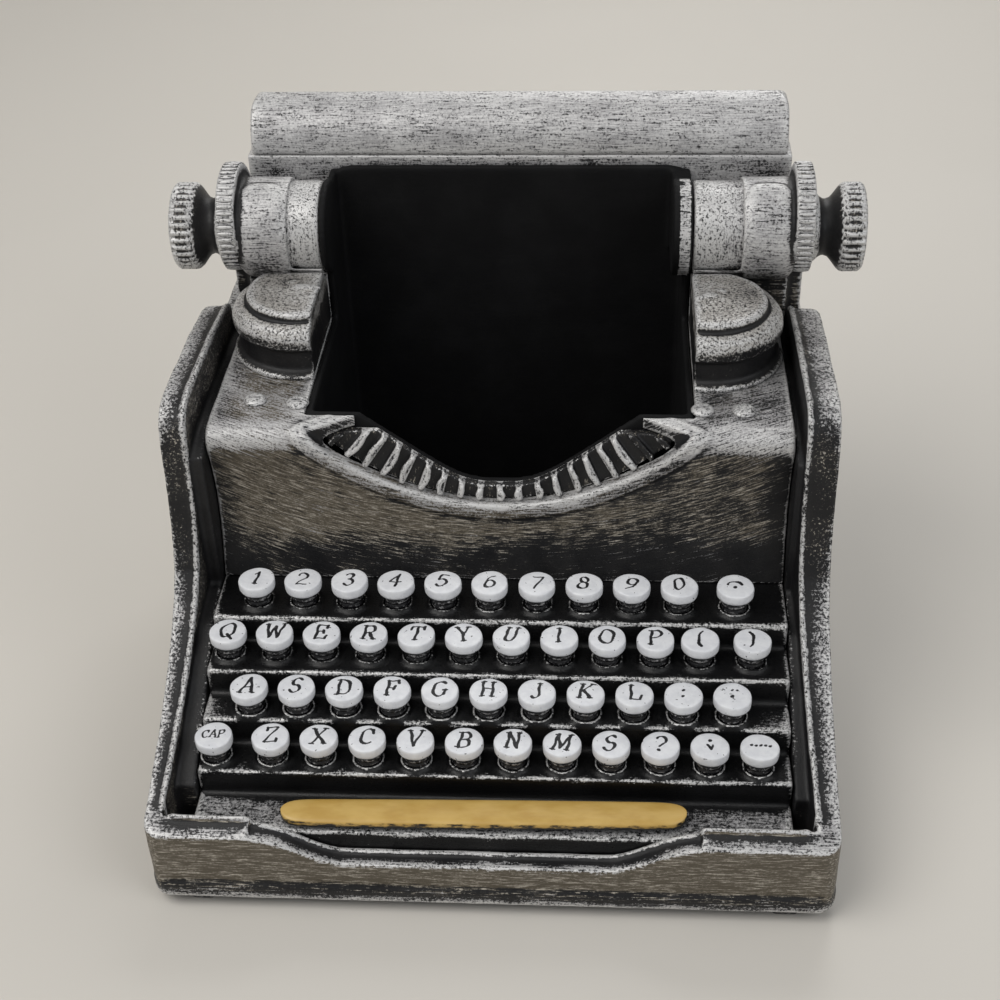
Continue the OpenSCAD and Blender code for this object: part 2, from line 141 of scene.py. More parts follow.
class Paint:
    """A material whose nodes are written as expressions."""

    def __init__(self, name):
        self.material = bpy.data.materials.new(name)
        self.material.use_nodes = True
        self.tree = self.material.node_tree
        self.shader = self.tree.nodes["Principled BSDF"]
        self.place = self.tree.nodes.new("ShaderNodeTexCoord").outputs["Object"]

    def put(self, value, socket):
        if isinstance(value, bpy.types.NodeSocket):
            self.tree.links.new(value, socket)
        elif isinstance(value, tuple) and len(value) == 3 and socket.type == "RGBA":
            socket.default_value = (*value, 1)
        else:
            socket.default_value = value

    def math(self, operation, a, b=0.0):
        node = self.tree.nodes.new("ShaderNodeMath")
        node.operation = operation
        self.put(a, node.inputs[0])
        self.put(b, node.inputs[1])
        return node.outputs[0]

    def times(self, a, b):
        return self.math("MULTIPLY", a, b)

    def total(self, *terms):
        """The sum of (socket, factor) pairs and of plain numbers."""
        result = sum(t for t in terms if not isinstance(t, tuple))
        for socket, factor in (t for t in terms if isinstance(t, tuple)):
            result = self.math("ADD", self.times(socket, factor), result)
        return result

    def noise(self, scale, detail=4, rough=0.6, twist=0.0):
        """Noise centred on zero. Its scale is in cells per metre, as one number or along x, y and z."""
        mapping = self.tree.nodes.new("ShaderNodeMapping")
        mapping.inputs["Scale"].default_value = scale if isinstance(scale, tuple) else (scale,) * 3
        self.put(self.place, mapping.inputs["Vector"])
        node = self.tree.nodes.new("ShaderNodeTexNoise")
        node.inputs["Scale"].default_value = 1
        node.inputs["Detail"].default_value = detail
        node.inputs["Roughness"].default_value = rough
        node.inputs["Distortion"].default_value = twist
        self.put(mapping.outputs[0], node.inputs["Vector"])
        return self.math("SUBTRACT", node.outputs["Fac"], 0.5)

    def bowed(self, bow):
        """From here on, noise lies on the skin of a cowl that runs up and then back, with strokes that
        rise by bow times x squared."""
        split = self.tree.nodes.new("ShaderNodeSeparateXYZ")
        self.put(self.place, split.inputs[0])
        x, y, z = split.outputs
        join = self.tree.nodes.new("ShaderNodeCombineXYZ")
        self.put(x, join.inputs[0])
        self.put(self.total((y, 1), (z, 1), (self.times(x, x), -bow)), join.inputs[2])
        self.place = join.outputs[0]

    def attribute(self, name):
        node = self.tree.nodes.new("ShaderNodeAttribute")
        node.attribute_name = name
        return node.outputs["Fac"]

    def step(self, value, low, high):
        """0 below low, 1 above high, and smooth between them."""
        node = self.tree.nodes.new("ShaderNodeMapRange")
        node.interpolation_type = "SMOOTHSTEP"
        self.put(value, node.inputs["Value"])
        node.inputs["From Min"].default_value = low
        node.inputs["From Max"].default_value = high
        return node.outputs["Result"]

    def mix(self, factor, a, b):
        node = self.tree.nodes.new("ShaderNodeMix")
        node.data_type = "RGBA"
        self.put(factor, node.inputs["Factor"])
        self.put(a, node.inputs[6])
        self.put(b, node.inputs[7])
        return node.outputs[2]

    def colour(self, value):
        self.put(value, self.shader.inputs["Base Color"])

    def blend(self, share, first, second):
        """The first value where share is 0, and the second where it is 1."""
        rest = self.math("SUBTRACT", 1.0, share)
        return self.total((self.times(first, rest), 1), (self.times(second, share), 1))

    def finish(self, metal=None, rough=None, height=None, depth=0.0):
        """Links metal and roughness, and a bump whose height is in metres."""
        if metal is not None:
            self.put(metal, self.shader.inputs["Metallic"])
        if rough is not None:
            self.put(rough, self.shader.inputs["Roughness"])
        if height is not None:
            bump = self.tree.nodes.new("ShaderNodeBump")
            bump.inputs["Distance"].default_value = depth
            self.put(height, bump.inputs["Height"])
            self.put(bump.outputs[0], self.shader.inputs["Normal"])
        return self.material


BLACK = (0.007, 0.007, 0.008)
SOOT = (0.022, 0.021, 0.021)
BROWN = (0.105, 0.088, 0.063)
PALE_BROWN = (0.600, 0.550, 0.470)
COAL = ((0.0030, 0.0030, 0.0034), (0.0065, 0.0065, 0.007))
DULL_SILVER = (0.210, 0.205, 0.205)
SILVER = (0.430, 0.423, 0.425)
PALE_SILVER_AND_HIGHLIGHT = (0.640, 0.633, 0.625)


def along(grain, long_cells, cross_cells):
    """Cells per metre for strokes that run along one axis."""
    return tuple(long_cells if axis == grain else cross_cells for axis in "xyz")


def cast_paint(name, grain="x", brown=0.0, silver=0.0, top=0.0, edge=1.0, speckle=1.0, scratch=0.5, bow=0.0,
               full=0.36, light=SILVER, ground=(BLACK, SOOT), gloss=0.42, shine=0.35):
    """Black resin, brushed with brown and then rubbed with silver. The bare numbers brown and silver
    raise or lower each coat, top adds silver where the face looks up, and edge where it stands proud. The
    silver never gets thicker than full, so that specks of black are left in it."""
    paint = Paint(name)
    if bow:
        paint.bowed(bow)
    flecks = paint.noise(1300, detail=4, rough=0.8)
    crossed = paint.attribute("crossed")
    drawn = paint.noise(along(grain, 105, 1800), detail=5, rough=0.7, twist=0.5)
    strokes = paint.blend(crossed, drawn, flecks)
    drawn = paint.noise(along(grain, 230, 2800), detail=3, rough=0.6, twist=0.4)
    hairs = paint.blend(crossed, drawn, flecks)
    broad = paint.noise(along(grain, 40, 500), detail=4, rough=0.7)
    lines = paint.step(paint.noise(along(grain, 60, 2000), detail=2, rough=0.5, twist=0.4), 0.09, 0.16)
    patches = paint.noise(75, detail=3, rough=0.55)
    proud = paint.attribute("proud")
    hollow = paint.attribute("hollow")
    cover = paint.total(silver, (paint.attribute("rubbed"), 1), (proud, 1.4 * edge),
                        (paint.attribute("up"), top), (patches, 1.1), (hollow, -1.7))
    grain_of_it = paint.total((strokes, 1.7), (flecks, 3.2 * speckle), (hairs, 1.2))
    coat = paint.total((paint.math("MINIMUM", cover, full), 1), (grain_of_it, 1), (lines, scratch))
    silver_share = paint.step(coat, 0.0, 0.3)
    under = paint.total(brown, (paint.attribute("brushed"), 1), (broad, 0.7), (strokes, 2.4), (hairs, 2.0),
                        (patches, 1.2), (flecks, 1.2), (hollow, -1.2))
    brown_share = paint.step(under, -0.1, 0.35)
    streak = paint.step(paint.total((hairs, 1.6), (strokes, 1.0), (flecks, 0.8)), -0.05, 0.5)
    # The silver's tone rises to its palest on proud edges and at random: partly the paint's own sparkle,
    # partly a painted highlight.
    tone = paint.total((proud, 0.7), (paint.math("MINIMUM", cover, 0.6), 0.5), (patches, 0.8), (hairs, 1.8),
                       (flecks, 1.6), 0.2)
    middling = paint.mix(paint.step(tone, -0.1, 0.4), DULL_SILVER, light)
    metal = paint.mix(paint.step(tone, 0.4, 0.95), middling, PALE_SILVER_AND_HIGHLIGHT)
    soot = paint.mix(paint.step(paint.total((patches, 1), (flecks, 0.7)), -0.2, 0.3), *ground)
    base = paint.mix(brown_share, soot, paint.mix(streak, BROWN, PALE_BROWN))
    paint.colour(paint.mix(silver_share, base, metal))
    rough = paint.total(gloss, (silver_share, -0.04), (brown_share, 0.14), (flecks, 0.25))
    grain_height = paint.total((strokes, 0.6), (flecks, 0.7), (silver_share, 0.25))
    paint.shader.inputs["Specular IOR Level"].default_value = shine
    return paint.finish(paint.times(silver_share, 0.35), rough, grain_height, 0.00016)


def enamel_paint():
    """Satin white key paint, a little uneven, with small black specks, and painted shade on the cap's lower
    rim.
    """
    paint = Paint("white_enamel")
    ripples = paint.noise(320, detail=3)
    specks = paint.step(paint.noise(1100, detail=1, rough=0.4), 0.235, 0.27)
    # painted shade: the hollow attribute marks each cap's curled lower rim, and that band is darkened here
    cap_rim_shade = paint.times(paint.attribute("hollow"), 0.8)
    clean = paint.mix(paint.step(ripples, -0.2, 0.2), (0.70, 0.71, 0.74), (0.80, 0.81, 0.83))
    wear_and_shade = paint.mix(cap_rim_shade, clean, (0.16, 0.16, 0.17))
    paint.colour(paint.mix(specks, wear_and_shade, (0.03, 0.03, 0.03)))
    return paint.finish(None, paint.total(0.36, (ripples, 0.2)), ripples, 0.00022)


def ink_paint():
    paint = Paint("black_ink")
    thin = paint.noise(700, detail=3)
    paint.colour(paint.mix(paint.step(thin, 0.08, 0.3), (0.012, 0.012, 0.014), (0.10, 0.10, 0.105)))
    return paint.finish(None, paint.total(0.5, (thin, 0.4)), thin, 0.00005)


def stem_paint():
    """Gloss black on the key's neck, with silver paint and a painted glint on its rings."""
    paint = Paint("gloss_neck")
    flecks = paint.noise((900, 900, 1400), detail=4, rough=0.7)
    share = paint.step(paint.total((paint.attribute("proud"), 1.0), (flecks, 2.4), -0.3), 0, 0.35)
    paint.colour(paint.mix(share, BLACK, SILVER))
    rough = paint.total(0.2, (share, 0.18), (flecks, 0.15))
    return paint.finish(paint.times(share, 0.6), rough, flecks, 0.00008)


def ochre_paint():
    """Ochre enamel with long fine scratches, worn to black along the lower rim."""
    paint = Paint("ochre_enamel")
    strokes = paint.noise((35, 1300, 1300), detail=5, rough=0.7)
    patches = paint.noise((90, 200, 200), detail=3)
    chips = paint.noise((260, 700, 700), detail=4, rough=0.7)
    scratch = paint.step(paint.total((strokes, 1.0), (patches, 0.5)), 0.22, 0.34)
    wear_and_shade = paint.step(paint.total((paint.attribute("hollow"), 1.0), (chips, 0.9), -0.5), 0, 0.2)
    flake = paint.step(chips, 0.27, 0.31)
    clean = paint.mix(paint.step(patches, -0.2, 0.2), (0.50, 0.31, 0.075), (0.60, 0.40, 0.12))
    scratched = paint.mix(paint.times(scratch, 0.45), clean, (0.09, 0.065, 0.03))
    flaked = paint.mix(flake, scratched, (0.16, 0.15, 0.14))
    paint.colour(paint.mix(wear_and_shade, flaked, BLACK))
    height = paint.total((strokes, 0.5), (flake, -0.6), (wear_and_shade, -0.4))
    return paint.finish(None, paint.total(0.4, (strokes, 0.3)), height, 0.0001)


def matt_black_paint(name, edge, rough=0.75):
    """Dead flat black that wears pale on sharp edges."""
    paint = Paint(name)
    dust = paint.noise(900, detail=4, rough=0.7)
    wear_and_shade = paint.total((paint.attribute("proud"), edge), (paint.attribute("rubbed"), 1), (dust, 1.5), -0.35)
    share = paint.step(wear_and_shade, 0, 0.4)
    ground = paint.mix(paint.step(dust, -0.1, 0.3), (0.0035, 0.0035, 0.0038), (0.008, 0.008, 0.0085))
    paint.colour(paint.mix(share, ground, (0.32, 0.32, 0.32)))
    return paint.finish(None, paint.total(rough, (dust, 0.2)), dust, 0.00005)


def wire_paint():
    """Bright spring wire, drawn along its length."""
    paint = Paint("spring_wire")
    lines = paint.noise((2500, 2500, 6000), detail=2)
    paint.colour(paint.mix(paint.step(lines, -0.2, 0.2), (0.38, 0.38, 0.39), (0.62, 0.62, 0.63)))
    paint.shader.inputs["Metallic"].default_value = 1.0
    return paint.finish(None, paint.total(0.3, (lines, 0.2)), lines, 0.00002)


# ---------------------------------------------------------------- mesh tools

def mesh_object(name, verts, faces, materials, slots=None):
    mesh = bpy.data.meshes.new(name)
    mesh.from_pydata([tuple(v) for v in verts], [], [tuple(int(i) for i in f) for f in faces])
    for material in materials:
        mesh.materials.append(material)
    if slots is not None:
        mesh.polygons.foreach_set("material_index", np.asarray(slots, np.int32))
    mesh.polygons.foreach_set("use_smooth", np.ones(len(mesh.polygons), bool))
    mesh.update()
    made = bpy.data.objects.new(name, mesh)
    bpy.context.scene.collection.objects.link(made)
    return made


def merged(parts):
    """One (verts, faces) pair from several."""
    verts, faces, start = [], [], 0
    for v, f in parts:
        verts.extend(v)
        faces.extend(tuple(i + start for i in face) for face in f)
        start += len(v)
    return verts, faces


def node_mesh(name):
    """The (verts, faces) of a CAD node, as triangles."""
    mesh = NODES[name].data
    mesh.calc_loop_triangles()
    co = np.zeros(len(mesh.vertices) * 3)
    mesh.vertices.foreach_get("co", co)
    tri = np.zeros(len(mesh.loop_triangles) * 3, np.int32)
    mesh.loop_triangles.foreach_get("vertices", tri)
    return co.reshape(-1, 3).tolist(), tri.reshape(-1, 3).tolist()


def surface(name):
    return BVHTree.FromPolygons(*node_mesh(name))


def skin(rings, sides, closed=False):
    """The faces between rings of points, and from the last ring to the first if they are closed."""
    faces = []
    for i in range(rings if closed else rings - 1):
        here, after = i * sides, (i + 1) % rings * sides
        for k in range(sides):
            n = (k + 1) % sides
            faces.append((here + k, here + n, after + n, after + k))
    return faces


def tube(points, radii, sides=10):
    """A closed tube with pinched ends along a line of points."""
    line = [Vector(p) for p in points]
    count = len(line)
    radii = [float(r) for r in radii] if hasattr(radii, "__len__") else [radii] * count
    verts = []
    side = None
    for i, p in enumerate(line):
        ahead = (line[min(i + 1, count - 1)] - line[max(i - 1, 0)]).normalized()
        if side is None:
            side = ahead.orthogonal().normalized()
        side = (side - ahead * side.dot(ahead)).normalized()
        other = ahead.cross(side)
        for k in range(sides):
            a = 2 * math.pi * k / sides
            verts.append(p + radii[i] * (math.cos(a) * side + math.sin(a) * other))
    faces = skin(count, sides)
    for end, turn in ((0, -1), (count - 1, 1)):
        verts.append(line[end])
        ring = [end * sides + k for k in range(sides)][::turn]
        faces.extend((ring[k], ring[(k + 1) % sides], len(verts) - 1) for k in range(sides))
    return verts, faces


def ring_tube(points, radius, sides=10):
    """A tube round a closed level line of points."""
    line = [Vector(p) for p in points]
    count = len(line)
    verts = []
    for i, p in enumerate(line):
        ahead = (line[(i + 1) % count] - line[i - 1]).normalized()
        side = Vector((ahead.y, -ahead.x, 0))
        for k in range(sides):
            a = 2 * math.pi * k / sides
            verts.append(p + radius * (math.cos(a) * side + math.sin(a) * Vector((0, 0, 1))))
    return verts, skin(count, sides, closed=True)


def resampled(points, step):
    """The same line with points a step apart."""
    line = np.array([tuple(p) for p in points])
    run = np.concatenate([[0], np.cumsum(np.linalg.norm(np.diff(line, axis=0), axis=1))])
    at = np.linspace(0, run[-1], max(2, int(run[-1] / step)))
    return np.stack([np.interp(at, run, line[:, k]) for k in range(3)], axis=1)


def spread(values, edges, rounds, share=0.5):
    """Each vertex's value pulled towards its neighbours', that many times."""
    count = np.bincount(edges.ravel(), minlength=len(values)).clip(1)
    a, b = edges[:, 0], edges[:, 1]
    size = len(values)
    for _ in range(rounds):
        total = np.stack([np.bincount(a, column[b], size) + np.bincount(b, column[a], size)
                          for column in values.T], axis=1)
        values = values + share * (total / count[:, None] - values)
    return values


def vertex_arrays(mesh):
    co = np.zeros(len(mesh.vertices) * 3)
    mesh.vertices.foreach_get("co", co)
    normal = np.zeros(len(mesh.vertices) * 3)
    mesh.vertices.foreach_get("normal", normal)
    edges = np.zeros(len(mesh.edges) * 2, np.int64)
    mesh.edges.foreach_get("vertices", edges)
    return co.reshape(-1, 3), normal.reshape(-1, 3), edges.reshape(-1, 2)


def store(mesh, name, values):
    attribute = mesh.attributes.get(name) or mesh.attributes.new(name, "FLOAT", "POINT")
    attribute.data.foreach_set("value", np.asarray(values, np.float32))


def store_relief(mesh, cell):
    """Writes how far each vertex stands proud of what is round it or lies below it, and looks up."""
    co, normal, edges = vertex_arrays(mesh)
    smooth = spread(co, edges, 6)
    smoother = spread(smooth, edges, 30)
    fine = ((co - smooth) * normal).sum(1) / cell
    coarse = ((smooth - smoother) * normal).sum(1) / cell
    store(mesh, "proud", np.clip(2.6 * fine + 0.5 * coarse, -0.6, 1.2))
    store(mesh, "hollow", np.clip(-2.2 * fine - 0.55 * coarse, 0, 1))
    store(mesh, "up", np.clip(normal[:, 2], -1, 1))


def evaluated(made):
    """Replaces an object's mesh by what its modifiers make of it."""
    graph = bpy.context.evaluated_depsgraph_get()
    mesh = bpy.data.meshes.new_from_object(made.evaluated_get(graph))
    made.modifiers.clear()
    made.data = mesh
    return mesh


def waves(co, seed, size, height):
    """A gentle hand-made unevenness, as a few slow waves through space."""
    draw = np.random.default_rng(seed)
    total = np.zeros(len(co))
    for _ in range(6):
        way = draw.normal(size=3)
        way *= 2 * math.pi / (size * draw.uniform(0.6, 1.6)) / np.linalg.norm(way)
        total += np.sin(co @ way + draw.uniform(0, 6.28))
    return height * total / 6


def near(value, centre, width):
    """1 at the centre, and falling away over the width."""
    return np.exp(-((value - centre) / width) ** 2)


def rise(value, start, run):
    """0 up to the start, 1 past the run, and straight between them. A negative run falls instead."""
    return np.clip((value - start) / run, 0, 1)


def no_wear(co, normal):
    return np.zeros(len(co)), np.zeros(len(co))


def cast(node, material, cell, extras=(), rounds=2, wobble=0.12, keep=1.0,
         wear=no_wear):
    """A cast piece that stands for a CAD node: its own solid and the extras, melted into one soft skin
    with cells of that many millimetres. keep is the share of its triangles that stay."""
    name = node + "_cast"
    cell = cell * MM * 1.0
    made = mesh_object(name, *merged([node_mesh(node), *extras]), [material])
    remesh = made.modifiers.new("skin", "REMESH")
    remesh.mode, remesh.voxel_size = "VOXEL", cell
    mesh = evaluated(made)
    co, normal, edges = vertex_arrays(mesh)
    co = spread(co, edges, rounds)
    co = co + normal * waves(co, len(name), 11 * MM, wobble * MM)[:, None]
    mesh.vertices.foreach_set("co", co.ravel())
    mesh.update()
    store_relief(mesh, cell)
    normal = vertex_arrays(mesh)[1]
    rubbed, brushed = wear(co, normal)
    store(mesh, "rubbed", rubbed)
    store(mesh, "brushed", brushed)
    store(mesh, "crossed", rise(co[:, 2] / MM, 32, 4) * (node == "casing"))
    if keep < 1:
        thin = made.modifiers.new("thin", "DECIMATE")
        thin.ratio = keep
        mesh = evaluated(made)
    mesh.polygons.foreach_set("use_smooth", np.ones(len(mesh.polygons), bool))
    mesh.materials.clear()
    mesh.materials.append(material)
    placed(made, node)
    print(f"{name}: {sum(len(p.vertices) - 2 for p in mesh.polygons)} triangles")
    return made


def placed(made, node):
    """Rides a piece on its node's body, and lets it stand for the node."""
    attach(made, NODES[node]["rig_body"])
    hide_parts(node)


def hit(tree, start, way):
    """Where a ray first meets a surface, or None."""
    return tree.ray_cast(Vector(start), Vector(way))[0]


# ---------------------------------------------------------------- cast pieces

BAND_FRONT = (5 * MM, 6.5 * MM)     # width of the side frames' top bands at the front, left and right
BAND_BACK = (8 * MM, 9.5 * MM)
APRON = 5.2 * MM             # thickness of the front apron
FLARE = 1.5 * MM             # how far the plinth stands out in front
PLINTH_SIDE = 0.5 * MM


def distance_to(co, points):
    """How far each vertex is from a line of closely set points, in millimetres."""
    tree = KDTree(len(points))
    for i, point in enumerate(points):
        tree.insert(point, i)
    tree.balance()
    return np.array([tree.find(v)[2] for v in co.tolist()]) / MM


def bead_line():
    """The line of the bead along the inner edge of both side frames and round the front rim."""
    lo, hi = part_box("casing")
    shell = surface("casing")
    middle = (lo.x + hi.x) / 2
    half = (hi.x - lo.x) / 2 - PLINTH_SIDE
    front = lo.y + FLARE
    knee, rear, corner = front + 75 * MM, front + 147 * MM, 5 * MM
    inset = 0.7 * MM

    def inner(y, side):
        share = min(1, (y - front) / (knee - front))
        return half - BAND_FRONT[side] - (BAND_BACK[side] - BAND_FRONT[side]) * share + inset

    plan = []
    for side, way in ((1, 1), (0, -1)):
        turn_x, turn_y = inner(front + APRON + corner, side) - corner, front + APRON + corner - inset
        line = [(inner(y, side), y) for y in np.arange(rear, front + APRON + corner, -0.3 * MM)]
        line += [(turn_x + corner * math.cos(a), turn_y - corner * math.sin(a))
                 for a in np.linspace(0, math.pi / 2, 12)]
        line += [(x, front + APRON - inset) for x in np.arange(turn_x, 0, -0.5 * MM)]
        plan += [(way * x, y) for x, y in line][::way]
    points = []
    for x, y in plan:
        found = hit(shell, (middle + x, y, hi.z + 0.1), (0, 0, -1))
        points.append((middle + x, y, found.z + 0.25 * MM))
    return resampled(points, 0.9 * MM)


def plinth_bead():
    """The round bead that runs about the foot of the casing."""
    height, sunk = 2.6 * MM, 1.35 * MM
    lo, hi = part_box("casing")
    shell = surface("casing")
    centre = (lo + hi) / 2
    points = []
    for a in np.linspace(0, 2 * math.pi, 721)[:-1]:
        way = Vector((math.cos(a), math.sin(a), 0))
        found = hit(shell, (centre.x + way.x, centre.y + way.y, lo.z + height), -way)
        points.append(found + way * -sunk)
    return ring_tube(resampled(points + points[:1], 1.2 * MM)[:-1], 1.25 * MM)


def casing_wear(co, normal):
    """Silver on the bands, the bead and the shoulder, brown brushing on the faces that look out."""
    lo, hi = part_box("casing")
    back, height = (co[:, 1] - lo.y) / MM, co[:, 2] / MM
    steep = near(height, 93, 17) * (back < 88)
    rear_band = rise(height, 112, 4) * (normal[:, 2] > 0.5)
    front_face = np.clip(-normal[:, 1] * 2 - 0.6, 0, 1) * (height < 34) * rise(height, 8, 1.5)
    half = (hi.x - lo.x) / 2 / MM
    across = np.abs(co[:, 0] - (lo.x + hi.x) / 2) / MM
    outside = np.abs(normal[:, 0]) * (across > half - 4)
    share = rise(back, 1.5, 75)
    within = ((across < half - 5.6 - 3 * share) & (back > 8.5)) * 1.0
    foot = near(height, 9.5, 1.6)
    plinth = rise(height, 7.5, -1.5)
    away = distance_to(co, bead_line())
    bead, groove = near(away, 0.4, 0.8), near(away, 2.2, 0.7)
    scoop = rise(height, 27, -3) * (height > 12) * (back < 9) * (normal[:, 2] > 0.3)
    rubbed = -0.7 * steep - 0.1 * rear_band - 0.05 * outside - 0.55 * front_face - 0.4 * scoop
    rubbed += 0.55 * plinth + 0.8 * bead - 0.35 * groove - 1.2 * within * (1 - bead) - 0.5 * foot
    brushed = 1.15 * front_face + 0.3 * outside - 0.3 * steep - 1.5 * within - 0.8 * foot - 0.6 * plinth
    brushed -= 1.2 * np.clip(normal[:, 2] * 3 - 1.5, 0, 1) * (back < 100) + 0.25 * (height > 32)
    return rubbed, brushed


def cowl_wear(co, normal):
    """A bright rubbed shoulder, a scribbled deck, and brushing that dies away towards the keys."""
    lo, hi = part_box("deck_cover")
    below = (hi.z - co[:, 2]) / MM
    across = np.abs(co[:, 0] - (lo.x + hi.x) / 2) / MM
    outer = rise(across, 55, 6)
    shoulder = near(below, 2.5, 4.5) * np.clip(-normal[:, 1] * 2.2, 0, 1)
    deck = (normal[:, 2] > 0.9) * 1.0
    low = rise(below, 36, 10)
    beside = rise(across, 76, 8)
    line = near(distance_to(co, [p for path in lip_lines() for p in path]), 0, 1.1)
    rubbed = 0.8 * shoulder * outer + 0.22 * deck - 0.3 * low - 0.3 * beside * (below > 4)
    rubbed += 0.9 * line - 0.15 * shoulder * (1 - outer) * (1 - line)
    tips = (1 - outer) * (below < 8) * (across > 38)
    rubbed += 0.25 * tips * (1 - line)
    lean = np.clip((co[:, 0] - (lo.x + hi.x) / 2) / MM / 60, -0.3, 1)
    brushed = 0.4 - 0.9 * low - 0.6 * beside - 1.2 * tips - 0.35 * lean
    return rubbed, brushed


RIBS = 19
FAN = 47                     # half angle of the fan of typebars, in degrees
BASKET_Z = 0.150             # height of the point about which they fan out


def rib_angle(i):
    """Angle of a typebar from straight down, in degrees."""
    return FAN * (2 * i / (RIBS - 1) - 1)


def typebar_wear(co, normal):
    """Silver on the crests only, and none in the pockets at the two tips."""
    lo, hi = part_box("typebars")
    x, z = co[:, 0] - (lo.x + hi.x) / 2, co[:, 2] - BASKET_Z
    angle = np.degrees(np.arctan2(x, -z))
    pitch = rib_angle(1) - rib_angle(0)
    off = (angle - rib_angle(0) + pitch / 2) % pitch - pitch / 2
    away = np.abs(np.radians(off)) * np.hypot(x, z) / MM
    pocket = (angle < rib_angle(0) + pitch / 2) | (angle > rib_angle(RIBS - 2) - pitch / 2)
    return np.where(pocket, -1.2, np.where(away < 1.1, 0.25, -0.75)), np.zeros(len(co))


def key_nodes():
    return [name for name in NODES if name.startswith("key_") and name not in ("key_bed", "key_springs")]


def bed_wear(co, normal):
    """Silver dust along the treads' edges, a brushed grey shelf, and hardly any round the keys."""
    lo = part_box("key_bed")[0]
    shelf = ((co[:, 2] < lo.z + 9 * MM) & (normal[:, 2] > 0.8) & (co[:, 1] < lo.y + 16 * MM)) * 1.0
    away = np.full(len(co), 1.0)
    for node in key_nodes():
        low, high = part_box(node)
        centre = (low + high) / 2
        away = np.minimum(away, np.hypot(co[:, 0] - centre.x, co[:, 1] - centre.y))
    collar = (away < 5.6 * MM) * 1.0
    low_treads = (co[:, 2] > lo.z + 9 * MM) * (co[:, 2] < lo.z + 27 * MM) * (normal[:, 2] > 0.8)
    return 0.95 * shelf + 0.6 * low_treads - 0.4 * collar * (1 - shelf), -0.2 * collar


def bin_wear(co, normal):
    """A thin silver rim along the bin's rear edge and on the round cheeks beside the rollers."""
    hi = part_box("bin")[1]
    platen_lo, platen_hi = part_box("right_platen")
    axis_y, axis_z = (platen_lo.y + platen_hi.y) / 2, (platen_lo.z + platen_hi.z) / 2
    reach = np.hypot(co[:, 1] - axis_y, co[:, 2] - axis_z)
    cheek = (reach > 14.0 * MM) & (reach < 15.2 * MM) & (co[:, 1] < axis_y + 6 * MM) & (co[:, 0] > 0)
    cheek &= (np.abs(normal[:, 0]) < 0.5) & (co[:, 0] > platen_lo.x - 4.4 * MM)
    rear = (co[:, 2] > hi.z - 0.9 * MM) & (co[:, 1] > hi.y - 3 * MM)
    return np.where(cheek, 2.2, np.where(rear, 1.5, 0)), np.zeros(len(co))


def spool_wear(co, normal):
    """Silver on the top and on the second tier's round edge, and a black waist."""
    height = (co[:, 2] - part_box("spool_covers")[0].z) / MM
    top = (height > 18.5) * 1.0
    tier = near(height, 15, 2)
    waist = near(height, 6.5, 4.5)
    return 0.3 * top + 0.5 * tier - 0.8 * waist - 0.25 * (height < 2), -0.3 * waist


def carriage_wear(co, normal):
    """Silver all over, but black in the throat below the rollers."""
    height = (co[:, 2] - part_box("carriage")[0].z) / MM
    return 0.1 - 0.75 * near(height, 6, 10), np.zeros(len(co))


def table_wear(co, normal):
    """More silver on the paper table than on anything else."""
    return np.full(len(co), 0.35), np.zeros(len(co))


def lip_lines():
    """The line of the moulding round the type basket, and of the ridge from each of its tips to the bin."""
    sheet = surface("deck_cover")
    lo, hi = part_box("deck_cover")
    middle = (lo.x + hi.x) / 2
    centre_z = hi.z + 44.8 * MM
    lines = []
    for radius, stand in ((76.1, 0.1), (73.2, 0.1), (74.7, 0.25)):
        points = []
        for a in np.linspace(-53.2, 53.2, 150):
            t = math.radians(a)
            x, z = middle + radius * MM * math.sin(t), centre_z - radius * MM * math.cos(t)
            found = hit(sheet, (x, lo.y - 0.05, z), (0, 1, 0))
            if found is not None:
                points.append((found.x, found.y - stand * MM, found.z))
        lines.append(resampled(points, 0.8 * MM))
    for s, tip in ((-1, lines[2][0]), (1, lines[2][-1])):
        start, end = Vector(tip), Vector((middle + s * 43.5 * MM, tip[1] + 10.4 * MM, hi.z))
        ridge = [start]
        for t in np.linspace(0.1, 1, 20):
            found = hit(sheet, start.lerp(end, t) + Vector((0, 0, 0.02)), (0, 0, -1))
            if found is not None and found.z > hi.z - 4 * MM:
                ridge.append(found)
        lines.append(resampled(ridge, 0.8 * MM))
    return lines


def lip_bead():
    """The silver moulding round the type basket, with the ridges at its tips."""
    parts = []
    for i, line in enumerate(lip_lines()):
        run = np.linspace(0.01, 0.99, len(line))
        width = (0.55 + 0.6 * np.sin(math.pi * run) ** 0.5) * MM if i < 3 else 0.75 * MM - 0.2 * MM * run
        parts.append(tube(line, width))
    return merged(parts)


def typebar_crests():
    """A rounded, slightly crooked crest along each rib of the type basket."""
    fan = surface("typebars")
    lo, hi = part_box("typebars")
    middle = (lo.x + hi.x) / 2
    draw = random.Random(5)
    parts = []
    for i in range(1, RIBS - 2):
        angle = math.radians(rib_angle(i))
        bend = draw.uniform(0.3, 1.0) * MM * (1 if i % 2 else -1)
        line = []
        for r in np.arange(46, 74, 0.7):
            x = middle + r * MM * math.sin(angle)
            z = BASKET_Z - r * MM * math.cos(angle)
            found = hit(fan, (x, lo.y - 0.05, z), (0, 1, 0))
            if found is not None:
                line.append(found)
        if len(line) < 4:
            continue
        across = Vector((math.cos(angle), 0, math.sin(angle)))
        last = len(line) - 1
        path = [p + across * bend * math.sin(math.pi * k / last) for k, p in enumerate(line)]
        width = [(0.6 + 0.3 * math.sin(math.pi * (k + 0.5) / (last + 1))) * MM for k in range(last + 1)]
        parts.append(tube(path, width, 8))
    return merged(parts)


